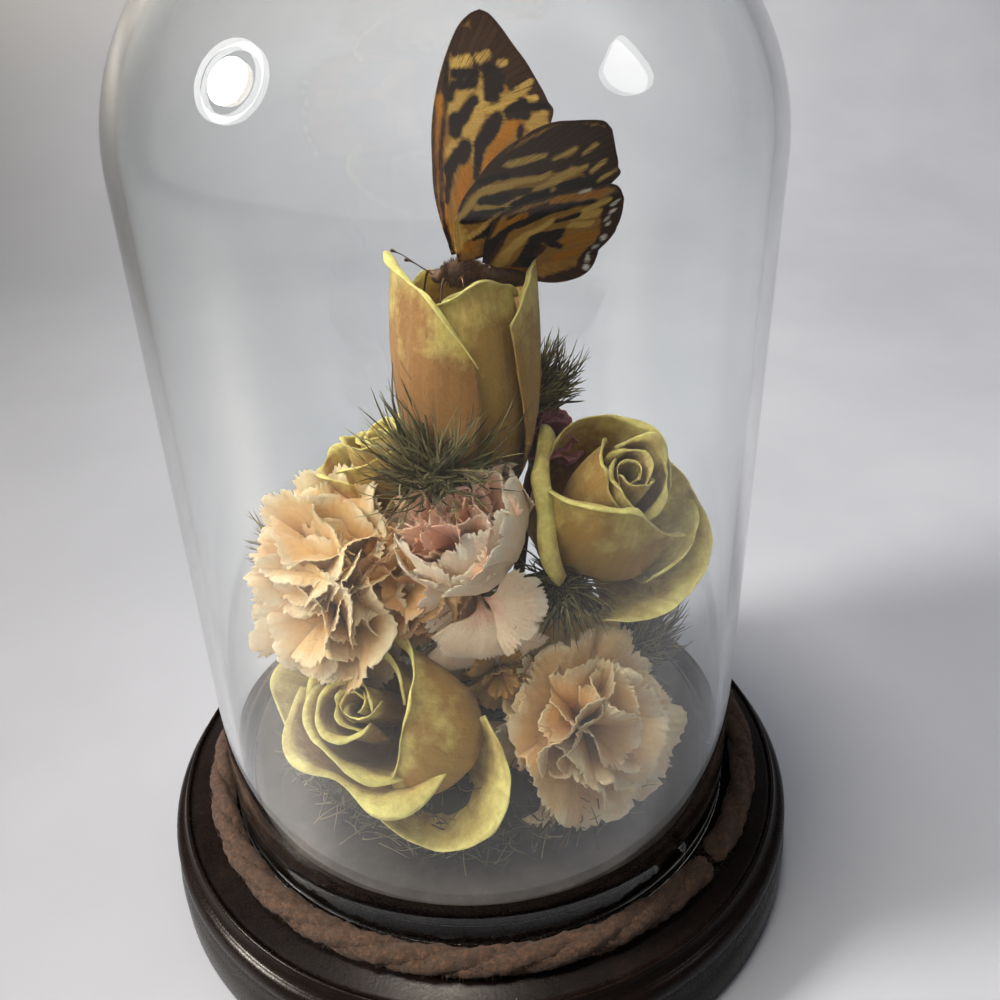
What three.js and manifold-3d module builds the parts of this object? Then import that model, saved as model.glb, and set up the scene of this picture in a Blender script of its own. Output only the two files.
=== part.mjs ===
// A mounted butterfly over dried roses and carnations, under a glass dome on a turned wooden foot.
// Millimetres, +Z up. The origin is the centre of the foot's underside, and the front faces -Y.
import * as THREE from "three";
import { mergeVertices } from "three/addons/utils/BufferGeometryUtils.js";
import Module from "manifold-3d";

// ---------------------------------------------------------------- driving dimensions
const GLASS_RADIUS = 60;
const GLASS_WALL = 2.5;
const GLASS_SHOULDER = 170;
const GLASS_CROWN = 51;
const FOOT_RADIUS = 76.6;
const LEDGE_HEIGHT = 21;
const PLATFORM_RADIUS = 56.8;
const PLATFORM_HEIGHT = 33.5;
const ROPE_RADIUS = 3.1;
const ROPE_SLACK = 1.6;
const GAP = 0.35;
const FINEST_EDGE = 0.04;
const PETAL_THICKNESS = 0.8;
const PETAL_FOOT = 2.4;
const PETAL_STEP = 1.2;
const WING_THICKNESS = 0.45;

const ROUND_STEPS = 32;
const PETAL_ACROSS = 5;
const PETAL_ALONG = 4;

// ---------------------------------------------------------------- finishes
const finish = (color, roughness, metalness = 0) =>
  new THREE.MeshStandardMaterial({ color, roughness, metalness });
const darkWood = finish("#17110f", 0.3);
const clearGlass = finish("#eef3f4", 0.03);
clearGlass.transparent = true;
clearGlass.opacity = 0.25;
const brownCord = finish("#6f4a37", 0.95);
const moss = finish("#6c6a55", 0.95);
const needles = finish("#6b6a4c", 0.85);
const stemGreen = finish("#5a4632", 0.8);
const yellowPetal = finish("#d9c46a", 0.7);
const tanPetal = finish("#b5834f", 0.75);
const peachPetal = finish("#e6c79c", 0.8);
const pinkPetal = finish("#e8cdb4", 0.8);
const mauvePetal = finish("#a4636a", 0.8);
const ochrePetal = finish("#b08a3e", 0.8);
const wingScales = finish("#7a4f24", 0.75);
const insectBlack = finish("#1c1512", 0.5);

// ---------------------------------------------------------------- solids and booleans
const wasm = await Module();
wasm.setup();

/** A closed geometry, or a solid already made, as a solid in place with its faces turned outwards. */
function solidOf(form, matrix = new THREE.Matrix4()) {
  if (form instanceof wasm.Manifold) return form.transform(matrix.elements);
  const geometry = form;
  const bare = new THREE.BufferGeometry();
  const source = geometry.index ? geometry.toNonIndexed() : geometry;
  bare.setAttribute("position", source.getAttribute("position").clone());
  bare.applyMatrix4(matrix);
  const merged = mergeVertices(bare, 1e-3);
  const corners = merged.index.array;
  const kept = [];
  for (let i = 0; i < corners.length; i += 3) {
    const [a, b, c] = [corners[i], corners[i + 1], corners[i + 2]];
    if (a !== b && b !== c && c !== a) kept.push(a, b, c);
  }
  const build = (faces) =>
    new wasm.Manifold(
      new wasm.Mesh({
        numProp: 3,
        vertProperties: new Float32Array(merged.attributes.position.array),
        triVerts: new Uint32Array(faces),
      }),
    );
  const made = build(kept);
  if (made.volume() > 0) return made;
  const turned = [];
  for (let i = 0; i < kept.length; i += 3) turned.push(kept[i], kept[i + 2], kept[i + 1]);
  return build(turned);
}

function geometryOf(solid) {
  const mesh = solid.getMesh();
  const points = new Float32Array(mesh.numVert * 3);
  for (let i = 0; i < mesh.numVert; i++) {
    points.set(mesh.vertProperties.subarray(i * mesh.numProp, i * mesh.numProp + 3), i * 3);
  }
  const geometry = new THREE.BufferGeometry();
  geometry.setAttribute("position", new THREE.BufferAttribute(points, 3));
  geometry.setIndex(new THREE.BufferAttribute(new Uint32Array(mesh.triVerts), 1));
  geometry.computeVertexNormals();
  return geometry;
}

/** The largest connected body of a solid, with any hollow sealed inside it filled. */
function largestBody(solid) {
  const bodies = solid.decompose();
  return bodies.reduce((best, body) => (body.volume() > best.volume() ? body : best));
}

const joined = (geometries) =>
  largestBody(geometries.map((g) => solidOf(g)).reduce((sum, next) => sum.add(next)));

// ---------------------------------------------------------------- shared shapes
const mix = (a, b, t) => a + (b - a) * t;
const radians = THREE.MathUtils.degToRad;

/** A profile of [radius, height] pairs turned about Z. */
function turned(profile, steps = ROUND_STEPS) {
  const points = profile.map(([r, h]) => new THREE.Vector2(r, h));
  return new THREE.LatheGeometry(points, steps).rotateX(Math.PI / 2);
}

/** Points of an elliptical arc in a turned profile, from one angle to another in degrees. */
function arcPoints(centreRadius, centreHeight, radius, height, from, to, steps) {
  return Array.from({ length: steps + 1 }, (_, i) => {
    const angle = radians(mix(from, to, i / steps));
    return [centreRadius + radius * Math.cos(angle), centreHeight + height * Math.sin(angle)];
  });
}

/** A thin closed sheet on surface(u, v), with u and v from 0 to 1, grown by the margin on every side. */
function sheet(surface, across, along, thickness, margin) {
  const point = (u, v) => surface(u, v, new THREE.Vector3());
  const step = 1e-3;
  const sides = [[], []];
  for (let j = 0; j <= along; j++) {
    for (let i = 0; i <= across; i++) {
      const u = i / across;
      const v = j / along;
      const du = point(Math.min(u + step, 1), v).sub(point(Math.max(u - step, 0), v));
      const dv = point(u, Math.min(v + step, 1)).sub(point(u, Math.max(v - step, 0)));
      const normal = du.clone().cross(dv).normalize().multiplyScalar(thickness / 2 + margin);
      const middle = point(u, v);
      if (i % across === 0) middle.addScaledVector(du.normalize(), i ? margin : -margin);
      if (j % along === 0) middle.addScaledVector(dv.normalize(), j ? margin : -margin);
      sides[0].push(middle.clone().add(normal));
      sides[1].push(middle.clone().sub(normal));
    }
  }
  const row = across + 1;
  const corners = [];
  const face = (...points) => points.forEach((p) => corners.push(p.x, p.y, p.z));
  const quad = (a, b, c, d) => {
    face(a, b, c);
    face(a, c, d);
  };
  const [front, back] = sides;
  for (let j = 0; j < along; j++) {
    for (let i = 0; i < across; i++) {
      const k = j * row + i;
      quad(front[k], front[k + 1], front[k + row + 1], front[k + row]);
      quad(back[k], back[k + row], back[k + row + 1], back[k + 1]);
    }
  }
  for (let i = 0; i < across; i++) {
    const k = along * row + i;
    quad(front[i], back[i], back[i + 1], front[i + 1]);
    quad(front[k], front[k + 1], back[k + 1], back[k]);
  }
  for (let j = 0; j < along; j++) {
    const k = j * row;
    quad(front[k], front[k + row], back[k + row], back[k]);
    const m = k + across;
    quad(front[m], back[m], back[m + row], front[m + row]);
  }
  const geometry = new THREE.BufferGeometry();
  geometry.setAttribute("position", new THREE.Float32BufferAttribute(corners, 3));
  return geometry;
}

/** A round rod along a smooth curve through points. */
function rod(points, radius, sides, steps) {
  const path = new THREE.CatmullRomCurve3(points.map((p) => new THREE.Vector3(...p)));
  const section = new THREE.Shape(
    Array.from({ length: sides }, (_, i) => {
      const angle = (2 * Math.PI * i) / sides;
      return new THREE.Vector2(radius * Math.cos(angle), radius * Math.sin(angle));
    }),
  );
  return new THREE.ExtrudeGeometry(section, { steps, bevelEnabled: false, extrudePath: path });
}

/** A tapered spike from one point towards another. */
function spike(from, to, radius, sides = 4) {
  const start = new THREE.Vector3(...from);
  const reach = new THREE.Vector3(...to).sub(start);
  const length = reach.length();
  const turn = new THREE.Quaternion().setFromUnitVectors(
    new THREE.Vector3(0, 1, 0),
    reach.clone().normalize(),
  );
  return new THREE.ConeGeometry(radius, length, sides)
    .translate(0, length / 2, 0)
    .applyQuaternion(turn)
    .translate(...from);
}

// ---------------------------------------------------------------- the scene graph
const root = new THREE.Group();
const pieces = [];

/** What stands on the platform: heights in it are measured from the platform's top. */
const arrangement = new THREE.Group();
arrangement.position.z = PLATFORM_HEIGHT;
root.add(arrangement);

/**
 * Adds a named mesh. form(margin) gives its closed form in the parent's frame, grown by the margin.
 * Pieces added first keep their whole form, and later ones are cut back around them.
 */
function addPiece(parent, name, material, form) {
  const mesh = new THREE.Mesh(undefined, material);
  mesh.name = name;
  parent.add(mesh);
  pieces.push({ mesh, form });
  return mesh;
}

/** A group whose +Z looks along a direction, with its +X kept to the right as seen from the front. */
function facing(origin, direction) {
  const z = new THREE.Vector3(...direction).normalize();
  const x = new THREE.Vector3(1, 0, 0).addScaledVector(z, -z.x).normalize();
  const y = new THREE.Vector3().crossVectors(z, x);
  const group = new THREE.Group();
  group.setRotationFromMatrix(new THREE.Matrix4().makeBasis(x, y, z));
  group.position.set(...origin);
  arrangement.add(group);
  return group;
}

// ---------------------------------------------------------------- case: foot, glass and cord
const footProfile = [
  [0, 0],
  [FOOT_RADIUS - 1, 0],
  [FOOT_RADIUS, 1],
  [FOOT_RADIUS, 7],
  [FOOT_RADIUS - 1, 12],
  ...arcPoints(FOOT_RADIUS - 3.2, 15.6, 2.6, 2.8, -30, 70, 3),
  [FOOT_RADIUS - 4.4, LEDGE_HEIGHT + 0.5],
  [FOOT_RADIUS - 5.4, LEDGE_HEIGHT],
  [PLATFORM_RADIUS, LEDGE_HEIGHT],
  [PLATFORM_RADIUS, LEDGE_HEIGHT + 7],
  [PLATFORM_RADIUS - 0.9, LEDGE_HEIGHT + 7.6],
  ...arcPoints(PLATFORM_RADIUS - 4, PLATFORM_HEIGHT - 3, 3.1, 3, 0, 90, 2),
  [0, PLATFORM_HEIGHT],
];
addPiece(root, "wood_base", darkWood, (margin) =>
  turned(footProfile.map(([r, h]) => [r ? r + margin / 2 : 0, h + (h > 20 ? margin : 0)])),
);

function domeProfile() {
  const inner = GLASS_RADIUS - GLASS_WALL;
  const foot = LEDGE_HEIGHT + GAP;
  return [
    ...arcPoints(0, GLASS_SHOULDER, GLASS_RADIUS, GLASS_CROWN, 90, 0, 5),
    [GLASS_RADIUS, foot],
    [inner, foot],
    ...arcPoints(0, GLASS_SHOULDER, inner, GLASS_CROWN - GLASS_WALL, 0, 90, 5),
  ].map(([r, h]) => [r < 1e-6 ? 0 : r, h]);
}
addPiece(root, "glass_dome", clearGlass, () => turned(domeProfile()));

/** The cord lies round the glass, and stands off it a little on the right where its ends meet. */
function ropePath() {
  const turns = 28;
  const start = radians(-40);
  const nearly = 2 * Math.PI - 0.02;
  return Array.from({ length: turns + 1 }, (_, i) => {
    const angle = start + (nearly * i) / turns;
    const slack = ROPE_SLACK * Math.max(0, Math.cos(angle)) ** 2;
    const r = GLASS_RADIUS + GAP + ROPE_RADIUS + slack;
    return [r * Math.cos(angle), r * Math.sin(angle), LEDGE_HEIGHT + GAP + ROPE_RADIUS];
  });
}
addPiece(root, "rope_ring", brownCord, () => rod(ropePath(), ROPE_RADIUS, 6, 34));

// ---------------------------------------------------------------- butterfly
const BUTTERFLY_SEAT = [1.1, -2, 113.7];
const BUTTERFLY_HEADING = radians(25);
const RIGHT_WING_LEAN = radians(13);
const LEFT_WING_LEAN = radians(40);

/** The butterfly's own frame: +X towards the head, +Y to its left, +Z up. */
const butterfly = new THREE.Group();
butterfly.position.set(...BUTTERFLY_SEAT);
butterfly.rotation.z = Math.PI + BUTTERFLY_HEADING;
arrangement.add(butterfly);

const legs = [
  [[3.4, 1.2, -1], [5.6, 3.4, 0.2], [6.8, 4.2, -4.2]],
  [[3.4, -1.2, -1], [5.4, -3.4, 0.2], [6.2, -4.4, -4]],
  [[1.6, 1.4, -1], [2, 4.6, 0.2], [2.4, 5.6, -5]],
  [[1.6, -1.4, -1], [2, -4.6, 0.2], [2.2, -5.6, -5]],
];
function insectBody(margin) {
  const grow = 1 + margin / 2.4;
  const thorax = new THREE.SphereGeometry(1, 8, 5).scale(3.9 * grow, 2.3 * grow, 2.4 * grow);
  const head = new THREE.SphereGeometry(1.5 * grow, 6, 5).translate(4.9, 0, 0.1);
  const abdomen = turned(
    [[0, -17], [0.7, -16.4], [1.7, -12], [2, -6], [1.5, 0], [0, 0.6]].map(([r, h]) => [r * grow, h]),
    8,
  );
  abdomen.rotateY(Math.PI / 2).rotateY(radians(-6));
  const limbs = legs.map((joints) => rod(joints, 0.32 + margin, 3, 4));
  return joined([thorax, head, abdomen, ...limbs]);
}
addPiece(butterfly, "butterfly_body", insectBlack, insectBody);

for (const [side, name] of [[1, "left"], [-1, "right"]]) {
  const antenna = [
    [6.35, side * 0.55, 0.9],
    [9, side * 1.9, 3],
    [11.8, side * 3, 5],
    [14.6, side * 3.6, 6.6],
  ];
  addPiece(butterfly, `antenna_${name}`, insectBlack, (margin) =>
    rod(antenna, 0.3 + margin, 4, 5),
  );
}

// Wing outlines in the plane of the wing: first towards the head, then outwards from the hinge.
const RIGHT_FOREWING = [
  [1.4, 3.4], [3.2, 14.2], [1.9, 26.5], [-1.1, 34.7], [-5.2, 41.4], [-10.9, 45.3],
  [-16.2, 39.3], [-20, 32.8], [-22.9, 25.3], [-13.5, 12.5], [-3, 3.4],
];
const LEFT_FOREWING = [
  [1.6, 3.4], [5.6, 16], [5.4, 28.1], [2.6, 36], [-2.6, 40.5], [-9, 41.2],
  [-15, 39.2], [-20.1, 33], [-24.6, 22], [-13, 10.5], [-3, 3.4],
];
const HINDWING = [
  [-3.2, 3.2], [-1.6, 12], [-3.4, 21.5], [-12.6, 23.9], [-24, 21.9], [-30.2, 15.4],
  [-33, 6.8], [-31.9, -1.4], [-25.1, -5.4], [-16.5, -4.6], [-8, 0],
];

function wingPlate(outline, margin) {
  const curve = new THREE.SplineCurve(outline.map(([x, y]) => new THREE.Vector2(x, y)));
  const shape = new THREE.Shape(curve.getPoints(outline.length * 2));
  const depth = WING_THICKNESS + 2 * margin;
  return new THREE.ExtrudeGeometry(shape, { depth, bevelEnabled: false }).translate(
    0,
    0,
    -depth / 2,
  );
}

/** A wing's plane stands along the body, leans out to its side, and lies a little off its hinge. */
function addWing(name, outline, side, lean, layer) {
  const hinge = new THREE.Group();
  const along = new THREE.Vector3(1, 0, 0);
  const out = new THREE.Vector3(0, side * Math.sin(lean), Math.cos(lean));
  const off = new THREE.Vector3().crossVectors(along, out);
  hinge.setRotationFromMatrix(new THREE.Matrix4().makeBasis(along, out, off));
  hinge.position.copy(off.clone().multiplyScalar(-side * layer));
  butterfly.add(hinge);
  addPiece(hinge, name, wingScales, (margin) => wingPlate(outline, margin));
}
addWing("butterfly_right_forewing", RIGHT_FOREWING, -1, RIGHT_WING_LEAN, 0.9);
addWing("butterfly_right_hindwing", HINDWING, -1, RIGHT_WING_LEAN, 0);
addWing("butterfly_left_forewing", LEFT_FOREWING, 1, LEFT_WING_LEAN, 0.9);
addWing("butterfly_left_hindwing", HINDWING, 1, LEFT_WING_LEAN, 0);

// ---------------------------------------------------------------- roses
/**
 * A rose petal about its flower's axis. turn and spread are degrees: where its middle is, and how far it
 * reaches to each side. seat is the height it grows from, belly and lip are radii, and height is the lip's.
 * The lip rolls outwards by curl degrees round a radius of roll. point rounds the outline's corners, and slant
 * lowers its left-hand corner as seen from outside.
 */
function petalSurface({
  turn, spread, seat = 0, belly, lip, height, roll = 1.3, curl = 120, point = 0.12, slant = 0,
}) {
  const bodyShare = 0.76;
  const body = new THREE.CubicBezierCurve(
    new THREE.Vector2(PETAL_FOOT, seat),
    new THREE.Vector2(belly, mix(seat, height, 0.06)),
    new THREE.Vector2(belly * 1.12, height * 0.62),
    new THREE.Vector2(lip, height),
  );
  return (u, v, target) => {
    const side = 2 * u - 1;
    const edge = 1 - point * Math.abs(side) ** 3 - (slant * (1 + side)) / 2;
    const profile = body.getPoint(Math.min(v / bodyShare, 1) * edge);
    if (v > bodyShare) {
      const leaving = body.getTangent(edge);
      const outwards = new THREE.Vector2(leaving.y, -leaving.x);
      const angle = (radians(curl) * (v - bodyShare)) / (1 - bodyShare);
      profile.addScaledVector(outwards, roll * (1 - Math.cos(angle)));
      profile.addScaledVector(leaving, roll * Math.sin(angle));
    }
    const width = mix(0.55, 1, Math.min(1, v * 1.6));
    const angle = radians(turn + spread * width * side);
    return target.set(profile.x * Math.cos(angle), profile.x * Math.sin(angle), profile.y);
  };
}

/**
 * A closed lump about Z from a profile of [radius, height] pairs, from its foot on the axis to its top on the
 * axis. ripple(angle, share) scales the radius and lift(angle, share) adds to the height on the way up.
 */
function lump(profile, steps, ripple, lift = () => 0) {
  const last = profile.length - 1;
  const rings = profile.map(([r, h], j) =>
    Array.from({ length: steps }, (_, i) => {
      const angle = (2 * Math.PI * i) / steps;
      const radius = r * ripple(angle, j / last);
      const height = h + (r ? lift(angle, j / last) : 0);
      return new THREE.Vector3(radius * Math.cos(angle), radius * Math.sin(angle), height);
    }),
  );
  const corners = [];
  const face = (...points) => points.forEach((p) => corners.push(p.x, p.y, p.z));
  for (let j = 0; j < last; j++) {
    for (let i = 0; i < steps; i++) {
      const k = (i + 1) % steps;
      face(rings[j][i], rings[j][k], rings[j + 1][k]);
      face(rings[j][i], rings[j + 1][k], rings[j + 1][i]);
    }
  }
  const geometry = new THREE.BufferGeometry();
  geometry.setAttribute("position", new THREE.Float32BufferAttribute(corners, 3));
  return geometry;
}

/** The wound inner petals of a rose, grown together: their edges step round the bud in a spiral. */
function rosebud(radius, seat, height, margin) {
  const profile = [
    [0, seat],
    [PETAL_FOOT, seat],
    [radius * 0.92, mix(seat, height, 0.3)],
    [radius, mix(seat, height, 0.6)],
    [radius * 0.82, height * 0.94],
    [radius * 0.6, height],
    [radius * 0.42, height * 0.9],
    [0, height * 0.86],
  ].map(([r, h]) => [r ? r + margin : 0, h + (h > seat ? margin : -margin)]);
  const windings = 3;
  const spiral = (angle, share) => {
    const turnShare = ((windings * angle) / (2 * Math.PI) + share * 1.5) % 1;
    return 1 - 0.14 * turnShare * Math.min(1, 2 * share);
  };
  return lump(profile, 12, spiral, (angle) => 0.9 * Math.sin(windings * angle));
}

const stems = [];
/**
 * A stem from a flower's foot down to the platform, with the green cup that holds the petals.
 * Stems are added last, so that they give way to the flowers.
 */
function stem(group, name, stemRadius, cupRadius, lean = [0, 0]) {
  const form = (margin) => {
    group.updateMatrix();
    const back = group.matrix.clone().invert();
    const top = new THREE.Vector3(0, 0, -0.6).applyMatrix4(group.matrix);
    const below = new THREE.Vector3(0, 0, -9).applyMatrix4(group.matrix);
    const end = new THREE.Vector3(below.x * 0.45 + lean[0], below.y * 0.45 + lean[1], GAP);
    const middle = below.clone().lerp(end, 0.5);
    const points = [top, below, middle, end].map((p) => p.applyMatrix4(back).toArray());
    const stalk = rod(points, stemRadius + margin, 5, 4);
    const cup = turned(
      [[0, -4.5], [stemRadius + 0.4, -4.2], [cupRadius, -1.4], [0, -0.8]].map(([r, h]) => [
        r ? r + margin : 0,
        h,
      ]),
      7,
    );
    return joined([stalk, cup]);
  };
  stems.push(() => addPiece(group, name, stemGreen, form));
}

function rose(name, { foot, faces, bud, petals, lean }) {
  const flower = facing(foot, faces);
  const seatOf = (layer) => PETAL_STEP * (petals.length - layer);
  addPiece(flower, `${name}_bud`, yellowPetal, (margin) => rosebud(bud[0], seatOf(0), bud[1], margin));
  petals.forEach((petal, i) => {
    const surface = petalSurface({ ...petal, seat: seatOf(i + 1) });
    addPiece(flower, `${name}_petal_${i + 1}`, i % 2 ? tanPetal : yellowPetal, (margin) =>
      sheet(surface, PETAL_ACROSS, PETAL_ALONG, PETAL_THICKNESS, margin),
    );
  });
  stem(flower, `${name}_stem`, 1.8, 4.6, lean);
}

rose("top_rose", {
  foot: [1, 0.5, 62],
  faces: [-0.02, -0.03, 1],
  bud: [9.5, 45],
  petals: [
    { turn: 100, spread: 82, belly: 11.6, lip: 10.4, height: 48, curl: 60 },
    { turn: 292, spread: 76, belly: 13.2, lip: 11.6, height: 45, curl: 110, slant: 0.04 },
    { turn: 200, spread: 78, belly: 14.6, lip: 13.4, height: 57, curl: 130, slant: 0.5 },
    { turn: 15, spread: 64, belly: 15.4, lip: 16.4, height: 41, curl: 70, point: 0.22 },
  ],
});

rose("right_rose", {
  foot: [24, 3, 47.5],
  faces: [0.25, -0.55, 0.8],
  bud: [7, 30],
  petals: [
    { turn: 205, spread: 82, belly: 8.8, lip: 7.8, height: 29, curl: 80 },
    { turn: 40, spread: 80, belly: 10.4, lip: 9.8, height: 28, curl: 90 },
    { turn: 268, spread: 74, belly: 12.4, lip: 12.4, height: 25.5, roll: 1.8, curl: 130 },
    { turn: 100, spread: 70, belly: 13.8, lip: 15.2, height: 28, curl: 80 },
    { turn: 182, spread: 52, belly: 15.2, lip: 16.6, height: 27, roll: 2.6, curl: 190 },
    { turn: 355, spread: 52, belly: 16.4, lip: 21.5, height: 23, roll: 2.4, curl: 60, point: 0.25 },
    { turn: 300, spread: 54, belly: 17.6, lip: 24.5, height: 15.5, roll: 2.4, curl: 60, point: 0.25 },
  ],
});

rose("lower_rose", {
  foot: [-15, -14, 13.5],
  faces: [-0.34, -0.62, 0.71],
  bud: [7, 26],
  petals: [
    { turn: 205, spread: 84, belly: 9, lip: 8, height: 25, curl: 80 },
    { turn: 80, spread: 70, belly: 10.6, lip: 10.4, height: 24.5, curl: 90 },
    { turn: 228, spread: 72, belly: 12.2, lip: 11.6, height: 23, roll: 1.6, curl: 120 },
    { turn: 355, spread: 78, belly: 15.4, lip: 11.6, height: 23.5, roll: 1.6, curl: 130 },
    { turn: 160, spread: 50, belly: 15, lip: 18.5, height: 20.5, roll: 2.6, curl: 70, point: 0.25 },
    { turn: 238, spread: 52, belly: 16.6, lip: 18.5, height: 16.5, roll: 4, curl: 95, point: 0.2 },
    { turn: 318, spread: 40, belly: 18.4, lip: 21.5, height: 12.5, roll: 4, curl: 70, point: 0.1 },
  ],
});

rose("back_rose", {
  foot: [-11, 7, 54.5],
  faces: [-0.35, 0.1, 0.93],
  bud: [6, 22],
  petals: [
    { turn: 200, spread: 80, belly: 7.8, lip: 7.6, height: 22, curl: 90 },
    { turn: 20, spread: 80, belly: 9.4, lip: 9.4, height: 21, curl: 90 },
    { turn: 280, spread: 64, belly: 11, lip: 12, height: 20, curl: 110 },
    { turn: 180, spread: 60, belly: 12.6, lip: 14.6, height: 19, curl: 90 },
  ],
});

// ---------------------------------------------------------------- carnations and small flowers
/** A head of frilled petals: three wavy rims, one above the other, round a full heart. */
function ruffledHead(radius, depth, folds, squash, margin) {
  const rows = [
    [0, 0, 0],
    [0.24, 0, 0],
    [0.98, 0.22, 1],
    [0.74, 0.44, 0.3],
    [0.86, 0.58, -1],
    [0.56, 0.7, 0.2],
    [0.56, 0.92, 0.8],
    [0.24, 0.86, 0],
    [0, 0.8, 0],
  ];
  const profile = rows.map(([r, h]) => [r ? r * radius + margin : 0, h * depth + (h > 0.5 ? margin : 0)]);
  const frill = (angle, share) => rows[Math.round(share * (rows.length - 1))][2] * Math.sin(folds * angle);
  return lump(
    profile,
    4 * folds,
    (angle, share) => 1 + 0.07 * frill(angle, share) + 0.04 * Math.sin(2 * angle + share),
    (angle, share) => 0.07 * depth * frill(angle + 0.4, share),
  ).scale(1, squash, 1);
}

function carnation(name, { foot, faces, radius, depth, material, folds = 4, squash = 1, lean }) {
  const flower = facing(foot, faces);
  addPiece(flower, name, material, (margin) => ruffledHead(radius, depth, folds, squash, margin));
  stem(flower, `${name}_stem`, 1.4, 3, lean);
}

carnation("pink_carnation", {
  foot: [0, -8, 53.5],
  faces: [0.05, -0.86, 0.42],
  radius: 15.5,
  depth: 18,
  squash: 1.25,
  material: pinkPetal,
});
carnation("left_carnation", {
  foot: [-23, -6, 46],
  faces: [-0.55, -0.7, 0.45],
  radius: 19.5,
  depth: 19,
  squash: 1.12,
  material: peachPetal,
});
carnation("tan_carnation", {
  foot: [-12, -8, 51.5],
  faces: [-0.15, -0.9, 0.45],
  radius: 11,
  depth: 14,
  material: peachPetal,
});
carnation("lower_carnation", {
  foot: [17, -15, 13.5],
  faces: [0.36, -0.72, 0.55],
  radius: 20,
  depth: 19,
  material: peachPetal,
});
carnation("mauve_flower", {
  foot: [17, 6, 69.5],
  faces: [0.3, -0.1, 0.9],
  radius: 8,
  depth: 10,
  material: mauvePetal,
});
carnation("ochre_flower", {
  foot: [4.5, -17, 30.5],
  faces: [0.1, -0.95, 0.1],
  radius: 8.5,
  depth: 9,
  material: ochrePetal,
});

// ---------------------------------------------------------------- needle tufts
const GOLDEN_ANGLE = Math.PI * (3 - Math.sqrt(5));

/** Thin needles that radiate from a short stalk, as far as cover degrees from the tuft's own axis. */
function needleTuft(name, { foot, faces, reach, count, cover, stalk = 8 }) {
  const tuft = facing(foot, faces);
  addPiece(tuft, name, needles, (margin) => {
    const knot = new THREE.SphereGeometry(2.4 + margin, 5, 4);
    const stalkRod = spike([0, 0, 1], [0, 0, -stalk], 1.4 + margin, 4);
    const spikes = Array.from({ length: count }, (_, i) => {
      const tilt = radians(cover) * Math.sqrt((i + 0.5) / count);
      const angle = GOLDEN_ANGLE * i;
      const length = reach * (0.82 + 0.18 * Math.cos(3 * i));
      const tip = [
        length * Math.sin(tilt) * Math.cos(angle),
        length * Math.sin(tilt) * Math.sin(angle),
        length * Math.cos(tilt),
      ];
      return spike([0, 0, 0], tip, 1.2 + margin, 3);
    });
    return joined([knot, stalkRod, ...spikes]);
  });
}

needleTuft("needle_tuft_centre", {
  foot: [-6, -12.5, 73.5],
  faces: [-0.1, -0.75, 0.65],
  reach: 17,
  count: 13,
  cover: 85,
});
needleTuft("needle_tuft_back", {
  foot: [16, 6, 83.5],
  faces: [0.5, 0.1, 0.8],
  reach: 15,
  count: 9,
  cover: 50,
});
needleTuft("needle_tuft_middle", {
  foot: [19, -12, 48],
  faces: [0.1, -0.85, -0.1],
  reach: 15,
  count: 10,
  cover: 70,
});
needleTuft("needle_tuft_left", {
  foot: [-40, 2, 49.5],
  faces: [-1, 0.1, 0.15],
  reach: 14,
  count: 9,
  cover: 60,
});
needleTuft("needle_tuft_right", {
  foot: [38, -6, 23.5],
  faces: [0.9, 0.1, 0.5],
  reach: 16,
  count: 9,
  cover: 60,
});

stems.forEach((addStem) => addStem());

// ---------------------------------------------------------------- moss bed
const MOSS_OUTER = 49;
const MOSS_INNER = 23;
const MOSS_CROWN = 14;
/** A lumpy ring-shaped heap round the stems, highest near them and thin at its outer edge. */
function mossHeap() {
  const rows = [
    [MOSS_INNER, GAP],
    [MOSS_OUTER, GAP],
    [MOSS_OUTER, 2.6],
    [mix(MOSS_INNER, MOSS_OUTER, 0.72), MOSS_CROWN * 0.55],
    [mix(MOSS_INNER, MOSS_OUTER, 0.3), MOSS_CROWN],
    [MOSS_INNER, MOSS_CROWN * 0.8],
  ];
  const steps = 18;
  const at = (i, j) => {
    const angle = (2 * Math.PI * (i % steps)) / steps;
    const row = j % rows.length;
    const [r, h] = rows[row];
    const swell = 1 + 0.03 * Math.sin(3 * angle + 0.7) + 0.02 * Math.sin(7 * angle + row);
    const height = h > GAP ? h * (1 + 0.12 * Math.sin(5 * angle + 1.3 * row)) : h;
    return new THREE.Vector3(r * swell * Math.cos(angle), r * swell * Math.sin(angle), height);
  };
  const corners = [];
  const face = (...points) => points.forEach((p) => corners.push(p.x, p.y, p.z));
  for (let i = 0; i < steps; i++) {
    for (let j = 0; j < rows.length; j++) {
      face(at(i, j), at(i + 1, j), at(i + 1, j + 1));
      face(at(i, j), at(i + 1, j + 1), at(i, j + 1));
    }
  }
  const geometry = new THREE.BufferGeometry();
  geometry.setAttribute("position", new THREE.Float32BufferAttribute(corners, 3));
  return geometry;
}
addPiece(arrangement, "moss_bed", moss, mossHeap);

// ---------------------------------------------------------------- fitting the pieces together
/** Each piece gives way to the pieces before it, and keeps a small gap to them. */
function fitPieces() {
  root.updateMatrixWorld(true);
  const earlier = [];
  for (const { mesh, form } of pieces) {
    let solid = solidOf(form(0), mesh.matrixWorld);
    const box = solid.boundingBox();
    const meets = (other) =>
      [0, 1, 2].every((k) => box.min[k] <= other.max[k] && other.min[k] <= box.max[k]);
    for (const { keepOut, reach } of earlier) {
      if (meets(reach)) solid = solid.subtract(keepOut);
    }
    solid = largestBody(solid).simplify(FINEST_EDGE);
    const home = mesh.matrixWorld.clone().invert();
    mesh.geometry = geometryOf(solid.transform(home.elements));
    const keepOut = solidOf(form(GAP), mesh.matrixWorld).add(solid);
    earlier.push({ keepOut, reach: keepOut.boundingBox() });
  }
}
fitPieces();

export default root;
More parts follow.
